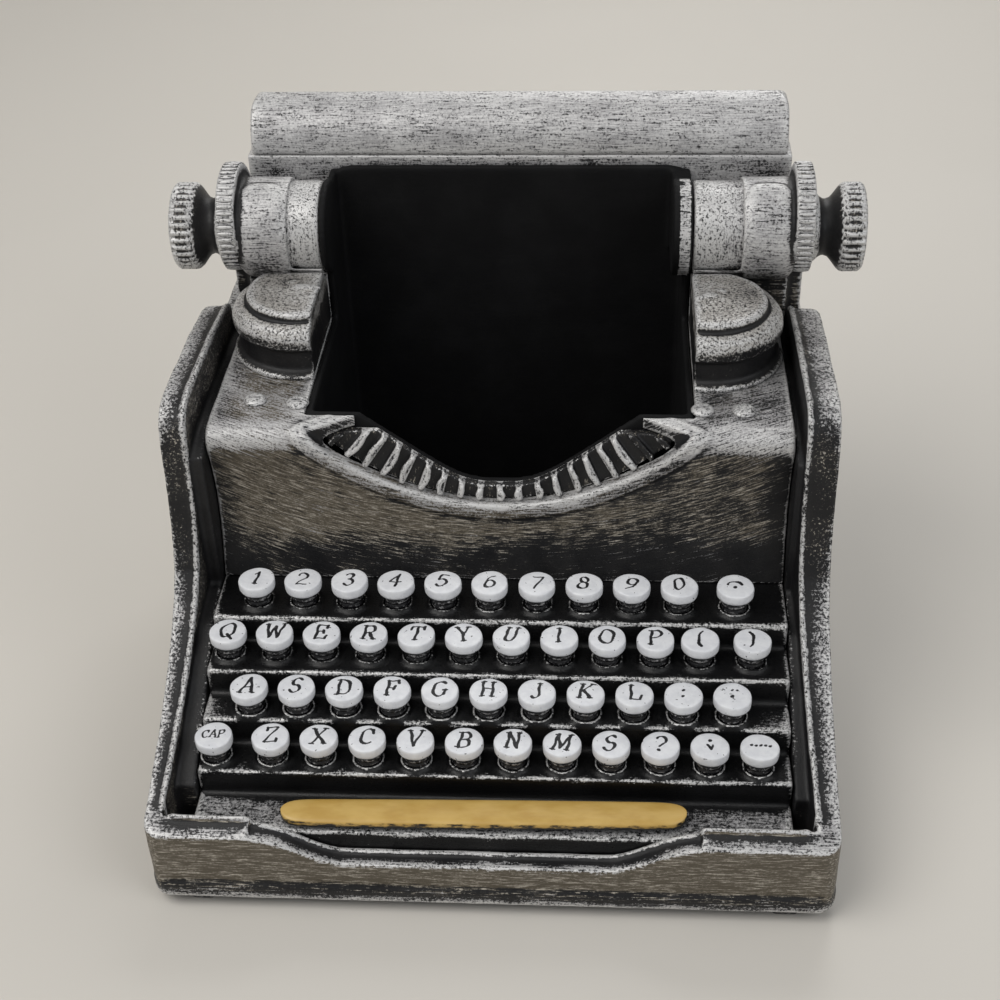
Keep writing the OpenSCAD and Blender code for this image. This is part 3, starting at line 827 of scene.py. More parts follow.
def blob(centre, size, seed):
    """A closed uneven lump, wider than it is high."""
    phase = np.random.default_rng(seed).uniform(0, 6.28, 3)

    def radius_at(_, a):
        return 1 + 0.18 * math.sin(2 * a + phase[0]) + 0.12 * math.sin(3 * a + phase[1])

    profile = [(math.sin(t), math.cos(t)) for t in np.linspace(0, math.pi, 9)]
    verts, faces, _ = turned(profile, 16, radius_at)
    return [[c + s * v for c, s, v in zip(centre, size, vert)] for vert in verts], faces


def spool_lumps():
    """The larger and the smaller worn lump on each spool cover's top."""
    lo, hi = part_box("spool_covers")
    middle = (lo.x + hi.x) / 2
    parts = []
    for s, y in ((-1, lo.y + 27 * MM), (1, lo.y + 22.5 * MM)):
        x = middle + s * (hi.x - middle - 22.5 * MM)
        large, small = (x - s * MM, y, hi.z - 0.5 * MM), (x + s * 3 * MM, y + 3.5 * MM, hi.z - 0.6 * MM)
        parts.append(blob(large, (4.2 * MM, 2.6 * MM, 1.1 * MM), 3 + s))
        parts.append(blob(small, (2.4 * MM, 1.6 * MM, 0.9 * MM), 6 + s))
    return merged(parts)


def carriage_places():
    """The platens' axis (y, z) and the x of the right knob's outer face."""
    lo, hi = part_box("right_platen")
    return (lo.y + hi.y) / 2, (lo.z + hi.z) / 2, hi.x


def make_knurls(material):
    """The teeth round the ring at each end of the carriage."""
    axis_y, axis_z, outer = carriage_places()
    x0, x1 = outer - 21.3 * MM, outer - 16.5 * MM
    centre_z, radius, teeth, stations = axis_z + 3.2 * MM, 16.25 * MM, 50, 12
    thick = [(0.5 + 0.25 * math.sin(math.pi * i / (stations - 1))) * MM for i in range(stations)]
    parts = []
    for s in (-1, 1):
        for k in range(teeth):
            a = 2 * math.pi * k / teeth
            y, z = axis_y + radius * math.cos(a), centre_z + radius * math.sin(a)
            if z > centre_z - 13 * MM:
                parts.append(tube([(s * x, y, z) for x in np.linspace(x0, x1, stations)], thick))
    made = mesh_object("knurled_rings", *merged(parts), [material])
    co = vertex_arrays(made.data)[0]
    above = (np.hypot(co[:, 1] - axis_y, co[:, 2] - centre_z) - radius) / MM
    store(made.data, "proud", np.clip(above * 1.2, -0.3, 0.8))
    store(made.data, "rubbed", np.clip(above * 2.6 - 1.1, -0.8, 0.2))
    placed(made, "carriage")


def guide_tongues():
    """The raised tongue on the front of each paper guide, with a rounded top end."""
    axis_y, axis_z, outer = carriage_places()
    x0, x1 = outer - 37 * MM, outer - 22.2 * MM
    across, along_it = 16, 40
    low, high, tip = math.radians(-62), math.radians(84), 0.42
    parts = []
    for s in (-1, 1):
        verts, faces = [], []
        for layer in (1, 0):
            for j in range(along_it + 1):
                a = low + (high - low) * j / along_it
                end = math.sqrt(max(0, 1 - max(0, (a - high + tip) / tip) ** 2))
                for i in range(across + 1):
                    t = 2 * i / across - 1
                    x = (x0 + x1) / 2 + (x1 - x0) / 2 * t * (0.25 + 0.75 * end)
                    swell = 1.05 * (1 - abs(t) ** 5) * min(1, end * 1.6) if layer else -0.6
                    r = (15.1 + swell) * MM
                    verts.append((s * x, axis_y - r * math.cos(a), axis_z + r * math.sin(a)))
        row, sheet = across + 1, (across + 1) * (along_it + 1)
        for j in range(along_it):
            for i in range(across):
                a = j * row + i
                faces.append((a, a + 1, a + row + 1, a + row))
                faces.append((a + sheet, a + sheet + row, a + sheet + row + 1, a + sheet + 1))
        rim = list(range(row)) + [j * row + across for j in range(1, along_it + 1)]
        rim += [along_it * row + i for i in range(across - 1, -1, -1)]
        rim += [j * row for j in range(along_it - 1, 0, -1)]
        faces += [(a, a + sheet, b + sheet, b) for a, b in zip(rim, rim[1:] + rim[:1])]
        parts.append((verts, faces if s > 0 else [f[::-1] for f in faces]))
    return merged(parts)


def make_castings():
    pewter = cast_paint("rubbed_pewter", silver=-0.6, top=0.95, edge=0.6)
    cowl = cast_paint("brushed_cowl", silver=-0.5, top=0.4, edge=0.8, speckle=0.8, scratch=0.6, bow=3.0)
    silver = cast_paint("rubbed_silver", brown=-0.1, silver=0.15, top=0.1, edge=0.5, speckle=0.8, scratch=0.1,
                        full=0.42)
    bars = cast_paint("rubbed_typebars", grain="z", brown=-0.3, silver=-0.35, edge=0.9, scratch=0, full=0.5)
    bed = cast_paint("worn_bed", brown=-1.2, silver=-0.95, top=0.15, edge=0.8, scratch=0.15, gloss=0.3,
                     full=0.3, ground=COAL)
    spool = cast_paint("rubbed_spools", grain="", brown=-0.4, silver=-0.2, top=0.4, edge=0.6, scratch=0,
                       full=0.34, light=(0.42, 0.40, 0.37))
    well = cast_paint("matt_bin", brown=-3.0, silver=-1.6, edge=0.3, scratch=0, ground=COAL, gloss=0.7,
                      shine=0.2)
    base = matt_black_paint("matt_base", 0.35, 0.6)
    cast("casing", pewter, 0.62, [tube(bead_line(), 0.8 * MM), plinth_bead()], keep=0.22,
         wear=casing_wear)
    cast("deck_cover", cowl, 0.6, [lip_bead()], rounds=3, keep=0.4, wear=cowl_wear)
    cast("typebars", bars, 0.4, [typebar_crests()], wobble=0.05, wear=typebar_wear)
    cast("key_bed", bed, 0.7, rounds=3, wobble=0.08, keep=0.45, wear=bed_wear)
    make_knurls(silver)
    cast("carriage", silver, 0.6, [guide_tongues()], keep=0.6, wear=carriage_wear)
    cast("paper_table", silver, 0.7, keep=0.5, wear=table_wear)
    cast("spool_covers", spool, 0.5, [spool_lumps()], rounds=3, wobble=0.2, wear=spool_wear)
    cast("bin", well, 0.7, wobble=0.05, keep=0.3, wear=bin_wear)
    cast("base_plate", base, 0.9, wobble=0.03, keep=0.35)


# ---------------------------------------------------------------- turned pieces

def turned(profile, sides, radius_at=None):
    """A closed solid turned about z from (radius, height) points that start and end on the axis."""
    verts = [(0, 0, profile[0][1])]
    rings = profile[1:-1]
    for i, point in enumerate(rings):
        for k in range(sides):
            a = 2 * math.pi * k / sides
            r = point[0] * (radius_at(i, a) if radius_at else 1)
            verts.append((r * math.cos(a), r * math.sin(a), point[1]))
    verts.append((0, 0, profile[-1][1]))
    faces, owner = [], []
    down = profile[0][1] > profile[-1][1]
    for k in range(sides):
        n = (k + 1) % sides
        strip = [(0, 1 + k, 1 + n)]
        for i in range(len(rings) - 1):
            a, b = 1 + i * sides + k, 1 + i * sides + n
            strip.append((a, a + sides, b + sides, b))
        last = 1 + (len(rings) - 1) * sides
        strip.append((len(verts) - 1, last + n, last + k))
        faces.extend(f if down else f[::-1] for f in strip)
        owner.extend(range(len(strip)))
    return verts, faces, owner


def make_platen(side, node, material):
    """A roller stub with its shaft, conical boss, neck and knurled knob, turned about the platen's axis.
    Its outline is in millimetres, as (radius, distance from the middle of the carriage)."""
    lo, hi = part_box(node)
    axis_y, axis_z = (lo.y + hi.y) / 2, (lo.z + hi.z) / 2
    outer = max(abs(lo.x), abs(hi.x)) / MM
    inner = min(abs(lo.x), abs(hi.x)) / MM
    shoulder, boss, knob = outer - 22.1, outer - 15.7, (outer - 7.3, outer)
    knob_teeth, per_tooth, tooth_depth = 34, 8, 0.05
    profile = [(0, inner), (13.2, inner), (13.8, inner + 0.4), (14, inner + 1.2)]
    profile += [(14, x) for x in np.linspace(inner + 3, shoulder - 0.8, 9)]
    profile += [(13.7, shoulder), (7, shoulder), (7, boss), (10.4, boss), (10.7, boss + 0.4),
                (10.3, boss + 1.2), (9.3, boss + 2.2), (8.7, boss + 3.2), (8.6, boss + 4), (9.1, knob[0] - 3),
                (10.2, knob[0] - 2), (11.5, knob[0] - 1), (12.6, knob[0] - 0.2), (13.3, knob[0] + 0.6)]
    knob_from = len(profile) - 2
    profile += [(13.6, x) for x in np.linspace(knob[0] + 1.2, knob[1] - 1.2, 5)]
    profile += [(13.3, knob[1] - 0.7)]
    knob_to = len(profile) - 2
    profile += [(12.6, knob[1] - 0.25), (11.4, knob[1]), (9.2, knob[1] - 0.15), (8.9, knob[1] - 0.5),
                (4, knob[1] - 0.45), (0, knob[1] - 0.4)]
    sides = knob_teeth * per_tooth

    def radius_at(i, a):
        if knob_from <= i <= knob_to:
            tooth = math.cos(knob_teeth * a)
            return 1 - tooth_depth * (0.5 - 0.5 * math.copysign(abs(tooth) ** 0.7, tooth))
        return 1

    verts, faces, _ = turned([(r * MM, x * MM) for r, x in profile], sides, radius_at)
    verts = [(side * z, side * -y + axis_y, x + axis_z) for x, y, z in verts]
    made = mesh_object(node + "_turned", verts, faces, [material])
    mesh = made.data
    co, normal, _ = vertex_arrays(mesh)
    co = co + normal * waves(co, 7 + side, 8 * MM, 0.1 * MM)[:, None]
    mesh.vertices.foreach_set("co", co.ravel())
    mesh.update()
    store_relief(mesh, 0.9 * MM)
    radial = np.hypot(co[:, 1] - axis_y, co[:, 2] - axis_z) / MM
    out = np.abs(co[:, 0]) / MM
    waist = (radial < 13) & (out > boss + 1.5) & (out < knob[0] + 0.5)
    hollow = np.zeros(len(co), np.float32)
    mesh.attributes["hollow"].data.foreach_get("value", hollow)
    store(mesh, "hollow", np.where(waist, np.maximum(hollow, 0.2), hollow))
    under = near((co[:, 2] - axis_z) / MM, -11, 4) * (co[:, 1] < axis_y) * (out < shoulder)
    on_knob = (out > knob[0] - 1) * 1.0
    ridge = rise(radial, 13.05, 0.5)
    neck = waist * (out < knob[0] - 3) * (co[:, 2] > axis_z - 4 * MM)
    store(mesh, "rubbed", on_knob * (0.9 * ridge - 0.5) - 0.9 * under - 0.2 * waist + 0.75 * neck)
    placed(made, node)


def screw_head(centre, up, radius, height, slot_width):
    """A domed head with a shallow worn slot."""
    profile = [(0, 0.95), (0.3, 0.93), (0.5, 0.88), (0.66, 0.78), (0.8, 0.62), (0.9, 0.42), (0.98, 0.2),
               (1.0, 0.05), (0.97, -0.15), (0, -0.2)]
    verts, faces, _ = turned([(r * radius, h * height) for r, h in profile], 40)
    made = []
    for x, y, z in verts:
        cut = math.exp(-(y / slot_width) ** 4) if z > 0.5 * height and math.hypot(x, y) < 0.62 * radius else 0
        made.append((centre[0] + x, centre[1] + y, centre[2] + up * (z - 0.12 * height * cut)))
    return made, faces if up > 0 else [f[::-1] for f in faces]


def shank(x, y, low, high, radius):
    """A screw's threaded shank: a rod with a ring of ridges for every turn."""
    pitch = 0.7 * MM
    turns = (high - low) / pitch
    steps = int(turns * 6)
    profile = [(0, high)]
    for i in range(steps + 1):
        t = i / steps
        bite = 0.5 + 0.5 * math.cos(2 * math.pi * turns * t)
        profile.append((radius * (0.82 + 0.16 * bite), high + (low - high) * t))
    profile.append((0, low))
    verts, faces, _ = turned(profile, 16)
    return [(x + a, y + b, z) for a, b, z in verts], faces


def make_screws(material):
    """Four deck screws and four base screws, as one group of separate solids."""
    slot, thread_r, base_head = 0.7 * MM, 1.5 * MM, 1.4 * MM
    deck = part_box("deck_cover")[1].z
    parts = []
    for low, high in solids_of("screws"):
        x, y = (low.x + high.x) / 2, (low.y + high.y) / 2
        radius = (high.x - low.x) / 2
        if high.z > deck:
            parts.append(screw_head((x, y, deck + 0.3 * MM), 1, radius, high.z - deck, slot))
            parts.append(shank(x, y, low.z, deck, thread_r))
        else:
            parts.append(screw_head((x, y, low.z + base_head), -1, radius, base_head, slot))
            parts.append(shank(x, y, low.z + base_head, high.z, thread_r))
    made = mesh_object("screws_turned", *merged(parts), [material])
    store_relief(made.data, 0.5 * MM)
    placed(made, "screws")


def solids_of(node):
    """The (low, high) corners of each separate solid in a node."""
    verts, faces = node_mesh(node)
    points = np.array(verts)
    _, same = np.unique(np.round(points / 1e-6).astype(np.int64), axis=0, return_inverse=True)
    same = same.ravel()
    owner = np.arange(same.max() + 1)

    def root(i):
        while owner[i] != i:
            owner[i] = owner[owner[i]]
            i = owner[i]
        return i

    for a, b, c in faces:
        ra, rb, rc = root(same[a]), root(same[b]), root(same[c])
        owner[rb] = ra
        owner[root(rc)] = ra
    label = np.array([root(i) for i in same])
    return [(Vector(points[label == k].min(0)), Vector(points[label == k].max(0))) for k in np.unique(label)]


# ---------------------------------------------------------------- painted letters

# Strokes in units of the letter's height, from the baseline up and about x = 0. Four numbers are a line,
# six an arc (centre, radii, start and end in degrees), three a dot and two a serif.
PARTS_OF_P = [(-.2, 0, -.2, 1), (-.2, 1, .04, 1), (.04, .74, .24, .26, 90, -90), (-.2, .48, .04, .48),
              (-.2, 0), (-.22, 1)]
LETTERS = {
    "1": [(0, 0, 0, 1), (0, 1, -.2, .8), (0, 0)],
    "2": [(0, .72, .25, .27, 165, -35), (.2, .57, -.27, .03), (-.27, .03, .3, .03)],
    "3": [(-.02, .76, .22, .23, 150, -90), (-.02, .27, .27, .27, 90, -145)],
    "4": [(.1, 1, .1, 0), (.1, 1, -.3, .32), (-.3, .32, .32, .32)],
    "5": [(-.16, .97, .24, .97), (-.16, .97, -.2, .58), (-.02, .31, .27, .31, 130, -140)],
    "6": [(0, .29, .26, .29, 0, 360), (.42, .3, .68, .68, 104, 180)],
    "7": [(-.26, .96, .28, .96), (.28, .96, -.06, 0)],
    "8": [(0, .75, .2, .23, 0, 360), (0, .26, .26, .27, 0, 360)],
    "9": [(0, .71, .26, .29, 0, 360), (-.42, .7, .68, .68, -76, 0)],
    "0": [(0, .5, .26, .48, 0, 360)],
    "fermata": [(0, .42, .36, .34, 15, 165), (0, .34, .09)],
    "q": [(0, .5, .34, .5, 0, 360), (.02, .2, .36, -.14)],
    "w": [(-.42, 1, -.2, 0), (-.2, 0, 0, .8), (0, .8, .2, 0), (.2, 0, .42, 1), (-.42, 1), (.42, 1)],
    "e": [(-.2, 0, -.2, 1), (-.26, 1, .26, 1), (-.2, .52, .12, .52), (-.26, 0, .28, 0), (.26, 1, .28, .82),
          (.28, 0, .32, .2), (.12, .62, .12, .42)],
    "r": [*PARTS_OF_P, (0, .48, .3, 0), (.3, 0)],
    "t": [(0, 0, 0, 1), (-.3, 1, .3, 1), (-.3, 1, -.33, .8), (.3, 1, .33, .8), (0, 0)],
    "y": [(-.28, 1, 0, .48), (.28, 1, 0, .48), (0, .48, 0, 0), (-.28, 1), (.28, 1), (0, 0)],
    "u": [(-.22, 1, -.22, .3), (0, .3, .22, .3, 180, 360), (.22, .3, .22, 1), (-.22, 1), (.22, 1)],
    "i": [(0, 0, 0, 1), (0, 0), (0, 1)],
    "o": [(0, .5, .34, .5, 0, 360)],
    "p": PARTS_OF_P,
    "paren_open": [(.26, .5, .34, .62, 120, 240)],
    "paren_close": [(-.26, .5, .34, .62, 60, -60)],
    "a": [(-.3, 0, .02, 1), (.02, 1, .32, 0), (-.19, .36, .21, .36), (-.3, 0), (.32, 0)],
    "s": [(0, .76, .22, .24, 35, 250), (0, .26, .25, .26, 110, -150)],
    "d": [(-.24, 0, -.24, 1), (-.24, 1, -.02, 1), (-.02, .5, .34, .5, 90, -90), (-.24, 0, -.02, 0), (-.26, 0),
          (-.26, 1)],
    "f": [(-.2, 0, -.2, 1), (-.26, 1, .28, 1), (-.2, .52, .12, .52), (.28, 1, .3, .82), (.12, .62, .12, .42),
          (-.2, 0)],
    "g": [(.02, .5, .34, .5, 50, 320), (.28, .42, .28, .12), (.26, .42)],
    "h": [(-.24, 0, -.24, 1), (.24, 0, .24, 1), (-.24, .52, .24, .52), (-.24, 0), (-.24, 1), (.24, 0),
          (.24, 1)],
    "j": [(.12, 1, .12, .22), (-.06, .22, .18, .22, 0, -150), (.12, 1)],
    "k": [(-.22, 0, -.22, 1), (.26, 1, -.2, .42), (-.08, .55, .3, 0), (-.22, 0), (-.22, 1), (.28, 1),
          (.3, 0)],
    "l": [(-.18, 0, -.18, 1), (-.24, 0, .28, 0), (.28, 0, .32, .24), (-.18, 1)],
    "colon": [(0, .7, .09), (0, .22, .09)],
    "dots": [(0, .3, .1), (-.13, .76, .06), (.13, .76, .06)],
    "z": [(-.24, .98, .28, .98), (.28, .98, -.28, .02), (-.28, .02, .3, .02), (.3, .02, .32, .2),
          (-.24, .98, -.26, .8)],
    "x": [(-.28, 1, .3, 0), (-.3, 0, .28, 1), (-.28, 1), (.3, 0), (-.3, 0), (.28, 1)],
    "c": [(.04, .5, .34, .5, 50, 310), (.27, .95, .27, .72)],
    "v": [(-.3, 1, 0, 0), (0, 0, .3, 1), (-.3, 1), (.3, 1)],
    "b": [(-.2, 0, -.2, 1), (-.2, 1, .02, 1), (.02, .76, .2, .24, 90, -90), (-.2, .52, .06, .52),
          (.06, .26, .24, .26, 90, -90), (-.2, 0, .06, 0), (-.24, 0), (-.24, 1)],
    "n": [(-.24, 0, -.24, 1), (-.24, 1, .24, 0), (.24, 0, .24, 1), (-.24, 0), (.24, 1), (-.28, 1)],
    "m": [(-.34, 0, -.3, 1), (-.3, 1, 0, .1), (0, .1, .3, 1), (.3, 1, .34, 0), (-.34, 0), (.34, 0), (-.32, 1),
          (.32, 1)],
    "question": [(0, .74, .22, .25, 165, -60), (.11, .52, 0, .3), (0, .05, .08)],
    "semicolon": [(0, .78, .09), (-.12, .45, 0, .2), (0, .2, .12, .45)],
    "ellipsis": [(x, .5, .07) for x in (-.44, -.22, 0, .22, .44)],
}
LETTERS["lower_s"] = LETTERS["s"]


def squeezed(strokes, scale, shift):
    """The same letter smaller and moved along x, about half height."""
    made = []
    for s in strokes:
        points = list(s)
        points[0] = s[0] * scale + shift
        points[1] = 0.5 + (s[1] - 0.5) * scale
        if len(s) == 4:
            points[2] = s[2] * scale + shift
            points[3] = 0.5 + (s[3] - 0.5) * scale
        elif len(s) == 6:
            points[2], points[3] = s[2] * scale, s[3] * scale
        made.append(tuple(points))
    return made


LETTERS["cap"] = [stroke for letter, shift in (("c", -.5), ("a", 0), ("p", .5))
                  for stroke in squeezed(LETTERS[letter], .62, shift)]


def stroke_segments(strokes, serif):
    """Short straight pieces (x0, y0, x1, y1, fixed width or None) that make up the strokes."""
    made = []
    for s in strokes:
        if len(s) == 2:
            made.append((s[0] - serif, s[1], s[0] + serif, s[1], None))
        elif len(s) == 3:
            made.append((s[0] - 0.01, s[1], s[0] + 0.01, s[1], s[2]))
        elif len(s) == 4:
            made.append((*s, None))
        else:
            cx, cy, rx, ry, start, end = s
            turns = np.radians(np.linspace(start, end, max(5, int(abs(end - start) / 15))))
            line = [(cx + rx * math.cos(a), cy + ry * math.sin(a)) for a in turns]
            made.extend((*p, *q, None) for p, q in zip(line, line[1:]))
    return made


def letter_mesh(strokes, size, seed, slant, surface_z, small=False):
    """The painted letter as a thin closed sheet on the cap, in millimetres. surface_z(x, y) is the cap's
    top. A grid of depths inside the strokes is cut at zero, and each cut square gives one face."""
    draw = np.random.default_rng(seed)
    thick, thin, nib = 0.056 if small else 0.078, 0.03, math.radians(25)
    stands, sunk = 0.075, 0.06
    cell, reach = 0.15, 4.95
    count = int(2 * reach / cell) + 1
    axis = np.linspace(-reach, reach, count)
    gx, gy = np.meshgrid(axis, axis, indexing="ij")
    phase = draw.uniform(0, 6.28, 4)
    ux = (gx + 0.13 * np.sin(1.5 * gy + phase[0])) / size
    uy = (gy + 0.13 * np.sin(1.7 * gx + phase[1])) / size + 0.5
    turn = draw.normal(0, 0.05)
    cos, sin = math.cos(turn), math.sin(turn)
    ux, uy = ux * cos + (uy - 0.5) * sin, 0.5 + (uy - 0.5) * cos - ux * sin
    ux = ux - slant * (uy - 0.5)
    depth = np.full(gx.shape, -1e3)
    for x0, y0, x1, y1, fixed in stroke_segments(strokes, 0.075 if small else 0.12):
        dx, dy = x1 - x0, y1 - y0
        t = np.clip(((ux - x0) * dx + (uy - y0) * dy) / max(dx * dx + dy * dy, 1e-9), 0, 1)
        away = np.hypot(ux - x0 - t * dx, uy - y0 - t * dy)
        width = fixed or max(thin, thick * abs(math.sin(math.atan2(dy, dx) - nib)))
        swell = 1 + 0.12 * np.sin(9 * t + phase[2])
        depth = np.maximum(depth, width * swell - away)
    depth = depth * size + 0.03 * np.sin(5.1 * gx + phase[3]) * np.sin(4.3 * gy + phase[2])
    verts, faces, index, rim = [], [], {}, {}

    def corner(i, j):
        key = ("c", i, j)
        if key not in index:
            index[key] = len(verts)
            verts.append((axis[i], axis[j]))
        return index[key]

    def crossing(i0, j0, i1, j1):
        if (i1, j1) < (i0, j0):
            i0, j0, i1, j1 = i1, j1, i0, j0
        key = ("e", i0, j0, i1, j1)
        if key not in index:
            a, b = depth[i0, j0], depth[i1, j1]
            t = min(0.92, max(0.08, a / (a - b)))
            index[key] = len(verts)
            verts.append((axis[i0] + (axis[i1] - axis[i0]) * t, axis[j0] + (axis[j1] - axis[j0]) * t))
        return index[key]

    inside = depth > 0
    for i, j in np.argwhere(inside[:-1, :-1] | inside[1:, :-1] | inside[:-1, 1:] | inside[1:, 1:]):
        square = [(i, j), (i + 1, j), (i + 1, j + 1), (i, j + 1)]
        ring = []
        for k in range(4):
            here, after = square[k], square[(k + 1) % 4]
            if inside[here]:
                ring.append((corner(*here), False))
            if inside[here] != inside[after]:
                ring.append((crossing(*here, *after), bool(inside[here])))
        faces.append([v for v, _ in ring])
        for k, (v, leaves) in enumerate(ring):
            if leaves:
                rim[v] = ring[(k + 1) % len(ring)][0]
    total = len(verts)
    high = [(x, y, surface_z(x, y) + stands) for x, y in verts]
    low = [(x, y, surface_z(x, y) - sunk) for x, y in verts]
    walls = [(a, a + total, b + total, b) for a, b in rim.items()]
    floor = [[v + total for v in reversed(face)] for face in faces]
    return high + low, faces + [w[::-1] for w in walls] + floor


# ---------------------------------------------------------------- keys, bar and springs

# A key's outline below its cap's top, as (radius, depth, silver paint and painted glint on it), in
# millimetres
NECK = [(4.45, 3.62, 0), (4.66, 3.78, 0.15), (4.66, 4.1, 0.15), (4.4, 4.3, 0), (3.5, 4.4, 0),
        (3.4, 4.95, 0), (3.55, 5.25, 0.05), (3.8, 5.5, 0.3), (3.85, 5.9, 0.4), (3.75, 6.3, 0.1),
        (3.5, 6.55, 0), (3.45, 6.8, 0), (3.7, 7.05, 0.1), (3.8, 7.4, 0.25), (3.7, 9, 0), (3.7, 13.5, 0),
        (3.4, 14, 0), (1.5, 14.02, 0), (1.46, 16, 0), (1.46, 23.2, 0), (1.5, 23.48, 0), (2.4, 23.52, 0.2),
        (2.6, 23.75, 0.2), (2.6, 24.3, 0.2), (2.4, 24.5, 0), (1.5, 24.55, 0), (1.3, 24.95, 0)]
# The cap's outline, as (share of its radius, depth)
CAP = [(0, 0), (0.3, 0), (0.6, 0.02), (0.86, 0.03), (0.94, 0.09), (0.975, 0.22), (0.99, 0.5), (1.0, 1.1),
       (0.995, 2.2), (0.985, 3.0), (0.955, 3.4), (0.9, 3.6)]
STEM_END = 25
TOP_ROW = [*"1234567890", "fermata"]
LETTER_SIZE = {"cap": 4.6, "ellipsis": 6.0, "dots": 5.4, "colon": 5.0}
DIGIT_SIZE, PLAIN_SIZE = 5.4, 5.9


def make_key(node, seed, materials):
    """A painted cap on its ringed neck and stem, with the letter on it, in one piece."""
    lo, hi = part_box(node)
    centre = ((lo.x + hi.x) / 2, (lo.y + hi.y) / 2, hi.z)
    radius = (hi.x - lo.x) / 2 / MM
    draw = random.Random(seed)
    phase = [draw.uniform(0, 6.28) for _ in range(4)]
    lean = (draw.uniform(-0.025, 0.025), draw.uniform(-0.03, 0.02))
    notch_at, notch = draw.uniform(0, 6.28), draw.choice([0, 0, 0.02, 0.045])
    profile = [(r * radius, d) for r, d in CAP] + [(r, d) for r, d, _ in NECK] + [(0, STEM_END)]
    silver = [0] * len(CAP) + [s for _, _, s in NECK] + [0]
    cap_rings = len(CAP) - 1
    cap_deep = CAP[-1][1]
    sides = 44

    def radius_at(i, a):
        if i >= cap_rings:
            return 1
        shape = 1 + 0.012 * math.sin(2 * a + phase[0]) + 0.009 * math.sin(3 * a + phase[1])
        shape += 0.006 * math.sin(7 * a + phase[2])
        away = math.atan2(math.sin(a - notch_at), math.cos(a - notch_at))
        return shape - (notch * math.exp(-(away / 0.09) ** 2) if 3 <= i <= 6 else 0)

    def top(x, y):
        """Height of the slightly crowned and tilted top."""
        return lean[0] * x + lean[1] * y - 0.0025 * (x * x + y * y) - 0.15

    verts, faces, owner = turned([(r, -d) for r, d in profile], sides, radius_at)
    body = []
    for x, y, z in verts:
        body.append((x, y, z + top(x, y) * max(0, 1 + z / cap_deep)))
    slots = [0 if o < cap_rings else 1 for o in owner]
    name = node.removeprefix("key_")
    size = LETTER_SIZE.get(name, DIGIT_SIZE if name.isdigit() else PLAIN_SIZE)
    slant = 0.12 if name in TOP_ROW else 0.06 + draw.uniform(-0.04, 0.12)
    shift = (draw.uniform(-0.2, 0.2), 0.35 + draw.uniform(-0.2, 0.3))
    ink, ink_faces = letter_mesh(LETTERS[name], size, seed, slant,
                                 lambda x, y: top(x + shift[0], y + shift[1]), name == "cap")
    ink = [(x + shift[0], y + shift[1], z) for x, y, z in ink]
    both, all_faces = merged([(body, faces), (ink, ink_faces)])
    slots += [2] * len(ink_faces)
    made = mesh_object(node + "_painted", [(centre[0] + x * MM, centre[1] + y * MM, centre[2] + z * MM)
                                           for x, y, z in both], all_faces, materials, slots)
    made.data.polygons.foreach_set("use_smooth", [slot != 2 for slot in slots])
    # silver paint and a painted glint on the neck's rings, handed to the neck paint as proud
    silver_and_glint = [0] + [s for s in silver[1:-1] for _ in range(sides)] + [0]
    # painted shade: a dark band round the cap's curled lower rim, handed to the enamel as hollow
    soil_and_shade = [0.9 if 3.3 < -z < 3.62 else 0 for _, _, z in body]
    store(made.data, "proud", silver_and_glint + [0] * len(ink))
    store(made.data, "hollow", soil_and_shade + [0] * len(ink))
    placed(made, node)


def make_keys():
    materials = [enamel_paint(), stem_paint(), ink_paint()]
    """Every key, row by row from the back and from left to right."""
    keys = sorted(key_nodes(), key=lambda n: (-round(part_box(n)[1].z, 3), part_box(n)[0].x))
    for seed, node in enumerate(keys):
        make_key(node, seed, materials)


def make_space_bar(material, post_material):
    """A long bar with a soft crown and rounded, slightly tapered ends, on two posts with pads."""
    lo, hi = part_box("space_bar")
    posts = [(low + high) / 2 for low, high in post_places()]
    posts.sort(key=lambda p: p.x)
    middle = (posts[0] + posts[1]) / 2
    way = (posts[1] - posts[0]).normalized()
    half_l, half_w, thick, crowned = 57.5 * MM, 4.9 * MM, 3 * MM, 0.25 * MM
    stations, sides = 90, 28
    verts, soil_and_shade = [], []
    for i in range(stations + 1):
        s = -math.cos(math.pi * i / stations)
        x = s * half_l
        end = max(1e-4, 1 - abs(s) ** 22) ** 0.5
        width = half_w * end * (0.93 + 0.07 * math.cos(math.pi / 2 * s))
        for k in range(sides):
            a = 2 * math.pi * k / sides
            c, v = math.cos(a), math.sin(a)
            y = width * math.copysign(abs(c) ** 0.45, c)
            z = 0.5 * thick * math.copysign(abs(v) ** 0.55, v)
            crown = crowned * (1 - (y / half_w) ** 2) if v > 0 else 0
            verts.append((middle.x + x * way.x - y * way.y, middle.y + y * way.x + x * way.y,
                          hi.z - 0.5 * thick + z - crowned + crown))
            soil_and_shade.append(min(1, 1.2 * max(0, -v) + max(0, s - 0.985) * 45 + 0.6 * max(0, -c) * (v < 0.6)))
    faces = skin(stations + 1, sides)
    faces += [range(sides)[::-1], range(stations * sides, (stations + 1) * sides)]
    slots = [0] * len(faces)
    parts = [(verts, faces)]
    post_top = (hi.z - thick - lo.z) / MM + 0.5
    outline = [(0, post_top), (2, post_top), (2, 2.2), (2.3, 1.7), (3.0, 1.5), (3.2, 1.2), (3.2, 0.3),
               (2.9, 0), (0, 0)]
    for place in posts:
        post, post_faces, _ = turned([(r * MM, z * MM) for r, z in outline], 24)
        parts.append(([(place.x + a, place.y + b, lo.z + z) for a, b, z in post], post_faces))
        slots += [1] * len(post_faces)
    both = merged(parts)
    made = mesh_object("space_bar_painted", *both, [material, post_material], slots)
    store(made.data, "hollow", soil_and_shade + [0] * (len(both[0]) - len(soil_and_shade)))
    store(made.data, "proud", [0] * len(both[0]))
    placed(made, "space_bar")


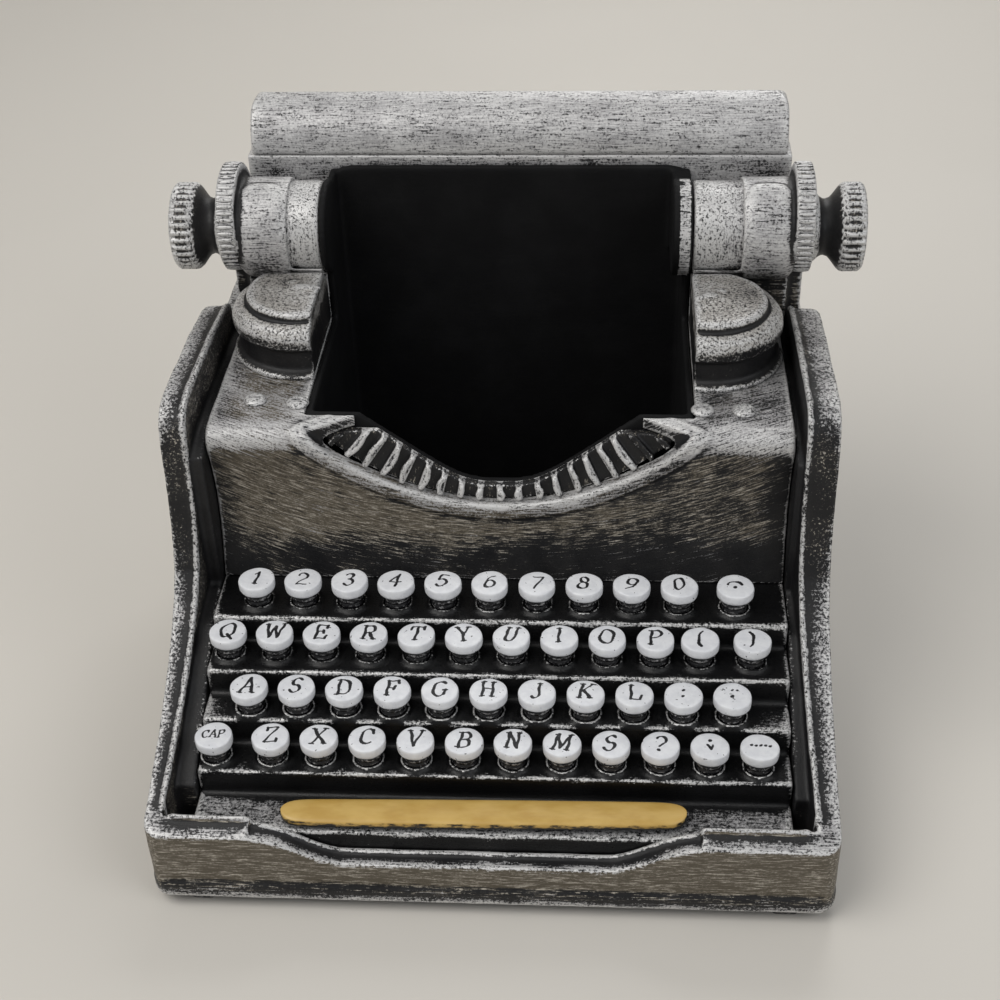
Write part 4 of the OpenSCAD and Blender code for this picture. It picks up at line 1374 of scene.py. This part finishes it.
def post_places():
    """The (low, high) corners of the two springs that stand under the space bar's posts."""
    bar_lo, bar_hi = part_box("space_bar")
    return [s for s in solids_of("key_springs")
            if s[0].y > bar_lo.y - 2 * MM and s[1].y < bar_hi.y + 2 * MM and s[1].z < bar_lo.z + MM]


def make_springs(material):
    """A real coil under every key and under both posts of the bar, each named after the piece that its joint
    presses.
    """
    wire, turns, steps = 0.42 * MM, 5.5, 110
    presses = [(*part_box(joint["child"]), joint) for joint in frame["joints"] if joint["type"] == "slide"]
    for low, high in solids_of("key_springs"):
        x, y = (low.x + high.x) / 2, (low.y + high.y) / 2
        owner = next(joint for lo, hi, joint in presses if lo.x < x < hi.x and lo.y < y < hi.y)
        tall = high.z - low.z
        radius = (high.x - low.x) / 2 - wire
        line = []
        for t in np.linspace(0, 1, steps + 1):
            a = 2 * math.pi * turns * t
            line.append((x + radius * math.cos(a), y + radius * math.sin(a),
                         low.z + wire + (tall - 2 * wire) * rise(t, 0.1, 0.8)))
        end = "" if owner["child"] != "space_bar" else "_left" if x < 0 else "_right"
        coil = mesh_object(owner["child"] + "_spring" + end, *tube(line, wire, 8), [material])
        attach(coil, "root")
        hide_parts("key_springs")
        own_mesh(coil)


# ---------------------------------------------------------------- all together

make_world()
make_camera()
make_stage()
make_light("key_light", (-0.55, -0.35, 1.0), (0, 0, 0.05), 0.9, 7.5, (1.0, 0.98, 0.95))
make_light("fill_light", (0.75, -0.55, 0.75), (0, 0, 0.05), 0.8, 3.2, (0.96, 0.98, 1.0))
make_light("back_light", (0.15, 0.85, 0.8), (0, 0, 0.08), 0.7, 4)
make_castings()
platen_paint = cast_paint("rubbed_platen", grain="z", brown=-0.25, edge=0.9, speckle=0.9, scratch=0.2)
make_platen(-1, "left_platen", platen_paint)
make_platen(1, "right_platen", platen_paint)
make_screws(cast_paint("rubbed_screws", brown=-0.3, silver=-0.1, top=0.3))
make_keys()
make_space_bar(ochre_paint(), matt_black_paint("bar_posts", 0.2, 0.4))
make_springs(wire_paint())
